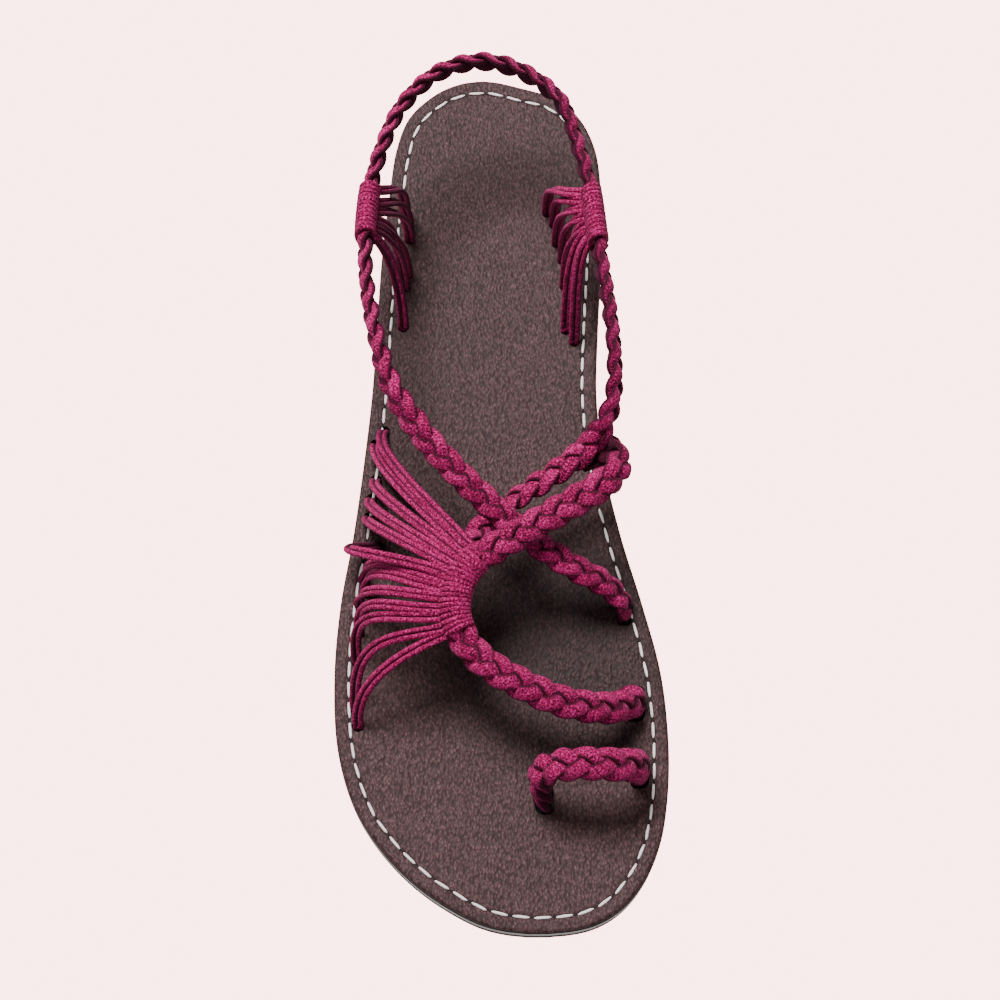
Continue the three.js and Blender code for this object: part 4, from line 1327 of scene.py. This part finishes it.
def foam_material():
    material, tree, shader = new_material("pale foam")
    place = object_place(tree)
    bubbles = noise(tree, place, 1500.0, detail=4.0, roughness=0.7)
    smudge = noise(tree, place, 40.0, detail=3.0)
    colour = ramp(tree, bubbles, [(0.3, (0.6, 0.58, 0.575)), (0.65, (0.86, 0.84, 0.83))])
    dirt = ramp(tree, smudge, [(0.35, (0.78, 0.76, 0.74)), (0.65, (1.0, 1.0, 1.0))])
    colour = mix_colour(tree, 1.0, colour, dirt, "MULTIPLY")
    facing = tree.nodes.new("ShaderNodeSeparateXYZ")
    tree.links.new(tree.nodes.new("ShaderNodeNewGeometry").outputs["Normal"], facing.inputs[0])
    # Painted shade: faces that look up are coloured nearly black, so the holes in the leather show dark.
    painted_top_shade = ramp(tree, facing.outputs[2], [(0.6, (0.0, 0.0, 0.0)), (0.75, (1.0, 1.0, 1.0))])
    colour = mix_colour(tree, painted_top_shade, colour, PAINTED_HOLE_SHADE)
    dress(shader, Base_Color=colour, Normal=bump(tree, bubbles, 0.5, 0.2 * MM), Roughness=0.85)
    return material


def rubber_material():
    material, tree, shader = new_material("dark rubber")
    place = object_place(tree)
    fine = noise(tree, place, 2000.0, detail=4.0, roughness=0.7)
    dust = noise(tree, place, 60.0, detail=4.0)
    colour = ramp(tree, dust, [(0.35, (0.022, 0.019, 0.019)), (0.7, (0.05, 0.044, 0.042))])
    dress(shader, Base_Color=colour, Roughness=math_node(tree, "MULTIPLY_ADD", dust, 0.25, 0.55),
          Normal=bump(tree, fine, 0.4, 0.15 * MM))
    return material


FOAM = foam_material()
RUBBER = rubber_material()

# %% Midsole and outsole meshes
GROOVE_WIDTH, GROOVE_DEPTH, GROOVE_PITCH = 2.4, 1.2, 9.0
GROOVE_SPAN = 0.66
OUTSOLE_BEVEL = 0.9
FOAM_BULGE = 0.6

midsole_side = [(MIDSOLE_INSET, False, 0.0), (MIDSOLE_INSET - FOAM_BULGE, False, 0.4),
                (MIDSOLE_INSET - FOAM_BULGE, True, -0.4), (MIDSOLE_INSET, True, 0.0)]
midsole = mesh_object("midsole_foam", *skin(layer_rings(midsole_bottom, midsole_top, midsole_side)),
                      FOAM, merge=1e-4)
crease(midsole, 40)

outsole_side = [(OUTSOLE_BEVEL, False, 0.0), (0.35, False, 0.2), (0.0, False, OUTSOLE_BEVEL),
                (0.0, True, -0.3), (0.25, True, 0.0)]
outsole = mesh_object("outsole_rubber", *skin(layer_rings(underside, outsole_top, outsole_side)),
                      RUBBER, merge=1e-4)


def tread_grooves(centre_y, count):
    made = []
    for i in range(count):
        y = centre_y + (i - (count - 1) / 2) * GROOVE_PITCH
        outer, inner = outer_x(y), inner_x(y)
        half = (inner - outer) * GROOVE_SPAN / 2
        middle = (inner + outer) / 2
        outline = [(middle - half, y - GROOVE_WIDTH / 2), (middle + half, y - GROOVE_WIDTH / 2),
                   (middle + half, y + GROOVE_WIDTH / 2), (middle - half, y + GROOVE_WIDTH / 2)]
        level = underside(middle, y)
        made.append(prism(outline, level - 2, level + GROOVE_DEPTH))
    return made


cut(outsole, tread_grooves(0, 4) + tread_grooves(to_y(0.72), 6))
crease(outsole, 40)

# %% [markdown]
# ## Riding the frame
# The sandal has no joint, so every piece rides on the one body. Each dressed piece stands
# for its plain solid.

# %% Bind the pieces
PIECES = {
    "outsole": ([outsole], "outsole_rubber"),
    "midsole": ([midsole], "midsole_foam"),
    "footbed": ([footbed, stitching, needle_hole_shade], "footbed_leather"),
    "braided_upper": ([forefoot_braid, instep_braid, heel_braid, binding, outer_winding, inner_winding,
                       edge_cords, heel_cords], "cord"),
    "toe_loop": ([toe_braid], "cord"),
}
for solid, (pieces, finish_slot) in PIECES.items():
    for piece in pieces:
        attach(piece, "root")
    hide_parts(solid)

# %% [markdown]
# ## Floor, light and camera
# The sandal stands on a pale floor that reaches past the picture. One large soft lamp
# stands behind the heel on the outer side, a weak one fills from the toe, and the camera
# looks down steeply from in front of the toe.

# %% Floor
FLOOR_GLOW = (8.0, 4.5, 4.3)
FLOOR_SHADE = (0.5, 0.48, 0.48)


def floor_material():
    """A backlit sheet: it looks evenly bright, and lights the sandal only a little."""
    material, tree, shader = new_material("pale floor")
    cloud = noise(tree, object_place(tree), 3.0, detail=2.0)
    shade = ramp(tree, cloud, [(0.2, FLOOR_SHADE), (0.8, tuple(0.98 * v for v in FLOOR_SHADE))])
    dress(shader, Base_Color=shade, Roughness=0.9, Specular_IOR_Level=0.1)
    glow = tree.nodes.new("ShaderNodeEmission")
    glow.inputs["Color"].default_value = (*FLOOR_GLOW, 1)
    seen = tree.nodes.new("ShaderNodeLightPath").outputs["Is Camera Ray"]
    mix = tree.nodes.new("ShaderNodeMixShader")
    tree.links.new(seen, mix.inputs[0])
    tree.links.new(shader.outputs[0], mix.inputs[1])
    tree.links.new(glow.outputs[0], mix.inputs[2])
    tree.links.new(mix.outputs[0], tree.nodes["Material Output"].inputs["Surface"])
    return material


floor = mesh_object("floor", [(-3000, -3000, 0), (3000, -3000, 0), (3000, 3000, 0), (-3000, 3000, 0)],
                    [(0, 1, 2, 3)], floor_material())

# %% Lights and world
def area_light(name, place, target, size, power, colour=(1, 1, 1)):
    data = bpy.data.lights.new(name, "AREA")
    data.shape = "DISK"
    data.size = size
    data.energy = power
    data.color = colour
    lamp = bpy.data.objects.new(name, data)
    lamp.location = place
    lamp.rotation_euler = (Vector(target) - Vector(place)).to_track_quat("-Z", "Y").to_euler()
    bpy.context.scene.collection.objects.link(lamp)
    return lamp


LIT_PLACE = (0, -0.09, 0)
KEY_SIZE, KEY_POWER = 0.4, 13.0
FILL_SIZE, FILL_POWER = 0.8, 2.0
area_light("key", (-0.2, 0.27, 0.75), LIT_PLACE, KEY_SIZE, KEY_POWER, (1.0, 0.98, 0.97))
area_light("fill", (0.1, -0.8, 0.9), LIT_PLACE, FILL_SIZE, FILL_POWER)
world = bpy.data.worlds.new("soft sky")
world.use_nodes = True
world.node_tree.nodes["Background"].inputs["Color"].default_value = (1.0, 0.97, 0.97, 1)
world.node_tree.nodes["Background"].inputs["Strength"].default_value = 0.24
bpy.context.scene.world = world

# %% Camera
CAMERA_TARGET = Vector((1.2, -94.12, 0)) * MM
CAMERA_PLACE = Vector((1.2, -326.7, 639)) * MM
camera_data = bpy.data.cameras.new("camera")
camera_data.lens = 87.5
camera_data.sensor_width = 36
camera_data.clip_start = 0.01
camera = bpy.data.objects.new("camera", camera_data)
camera.location = CAMERA_PLACE
camera.rotation_euler = (CAMERA_TARGET - CAMERA_PLACE).to_track_quat("-Z", "Y").to_euler()
bpy.context.scene.collection.objects.link(camera)
bpy.context.scene.camera = camera
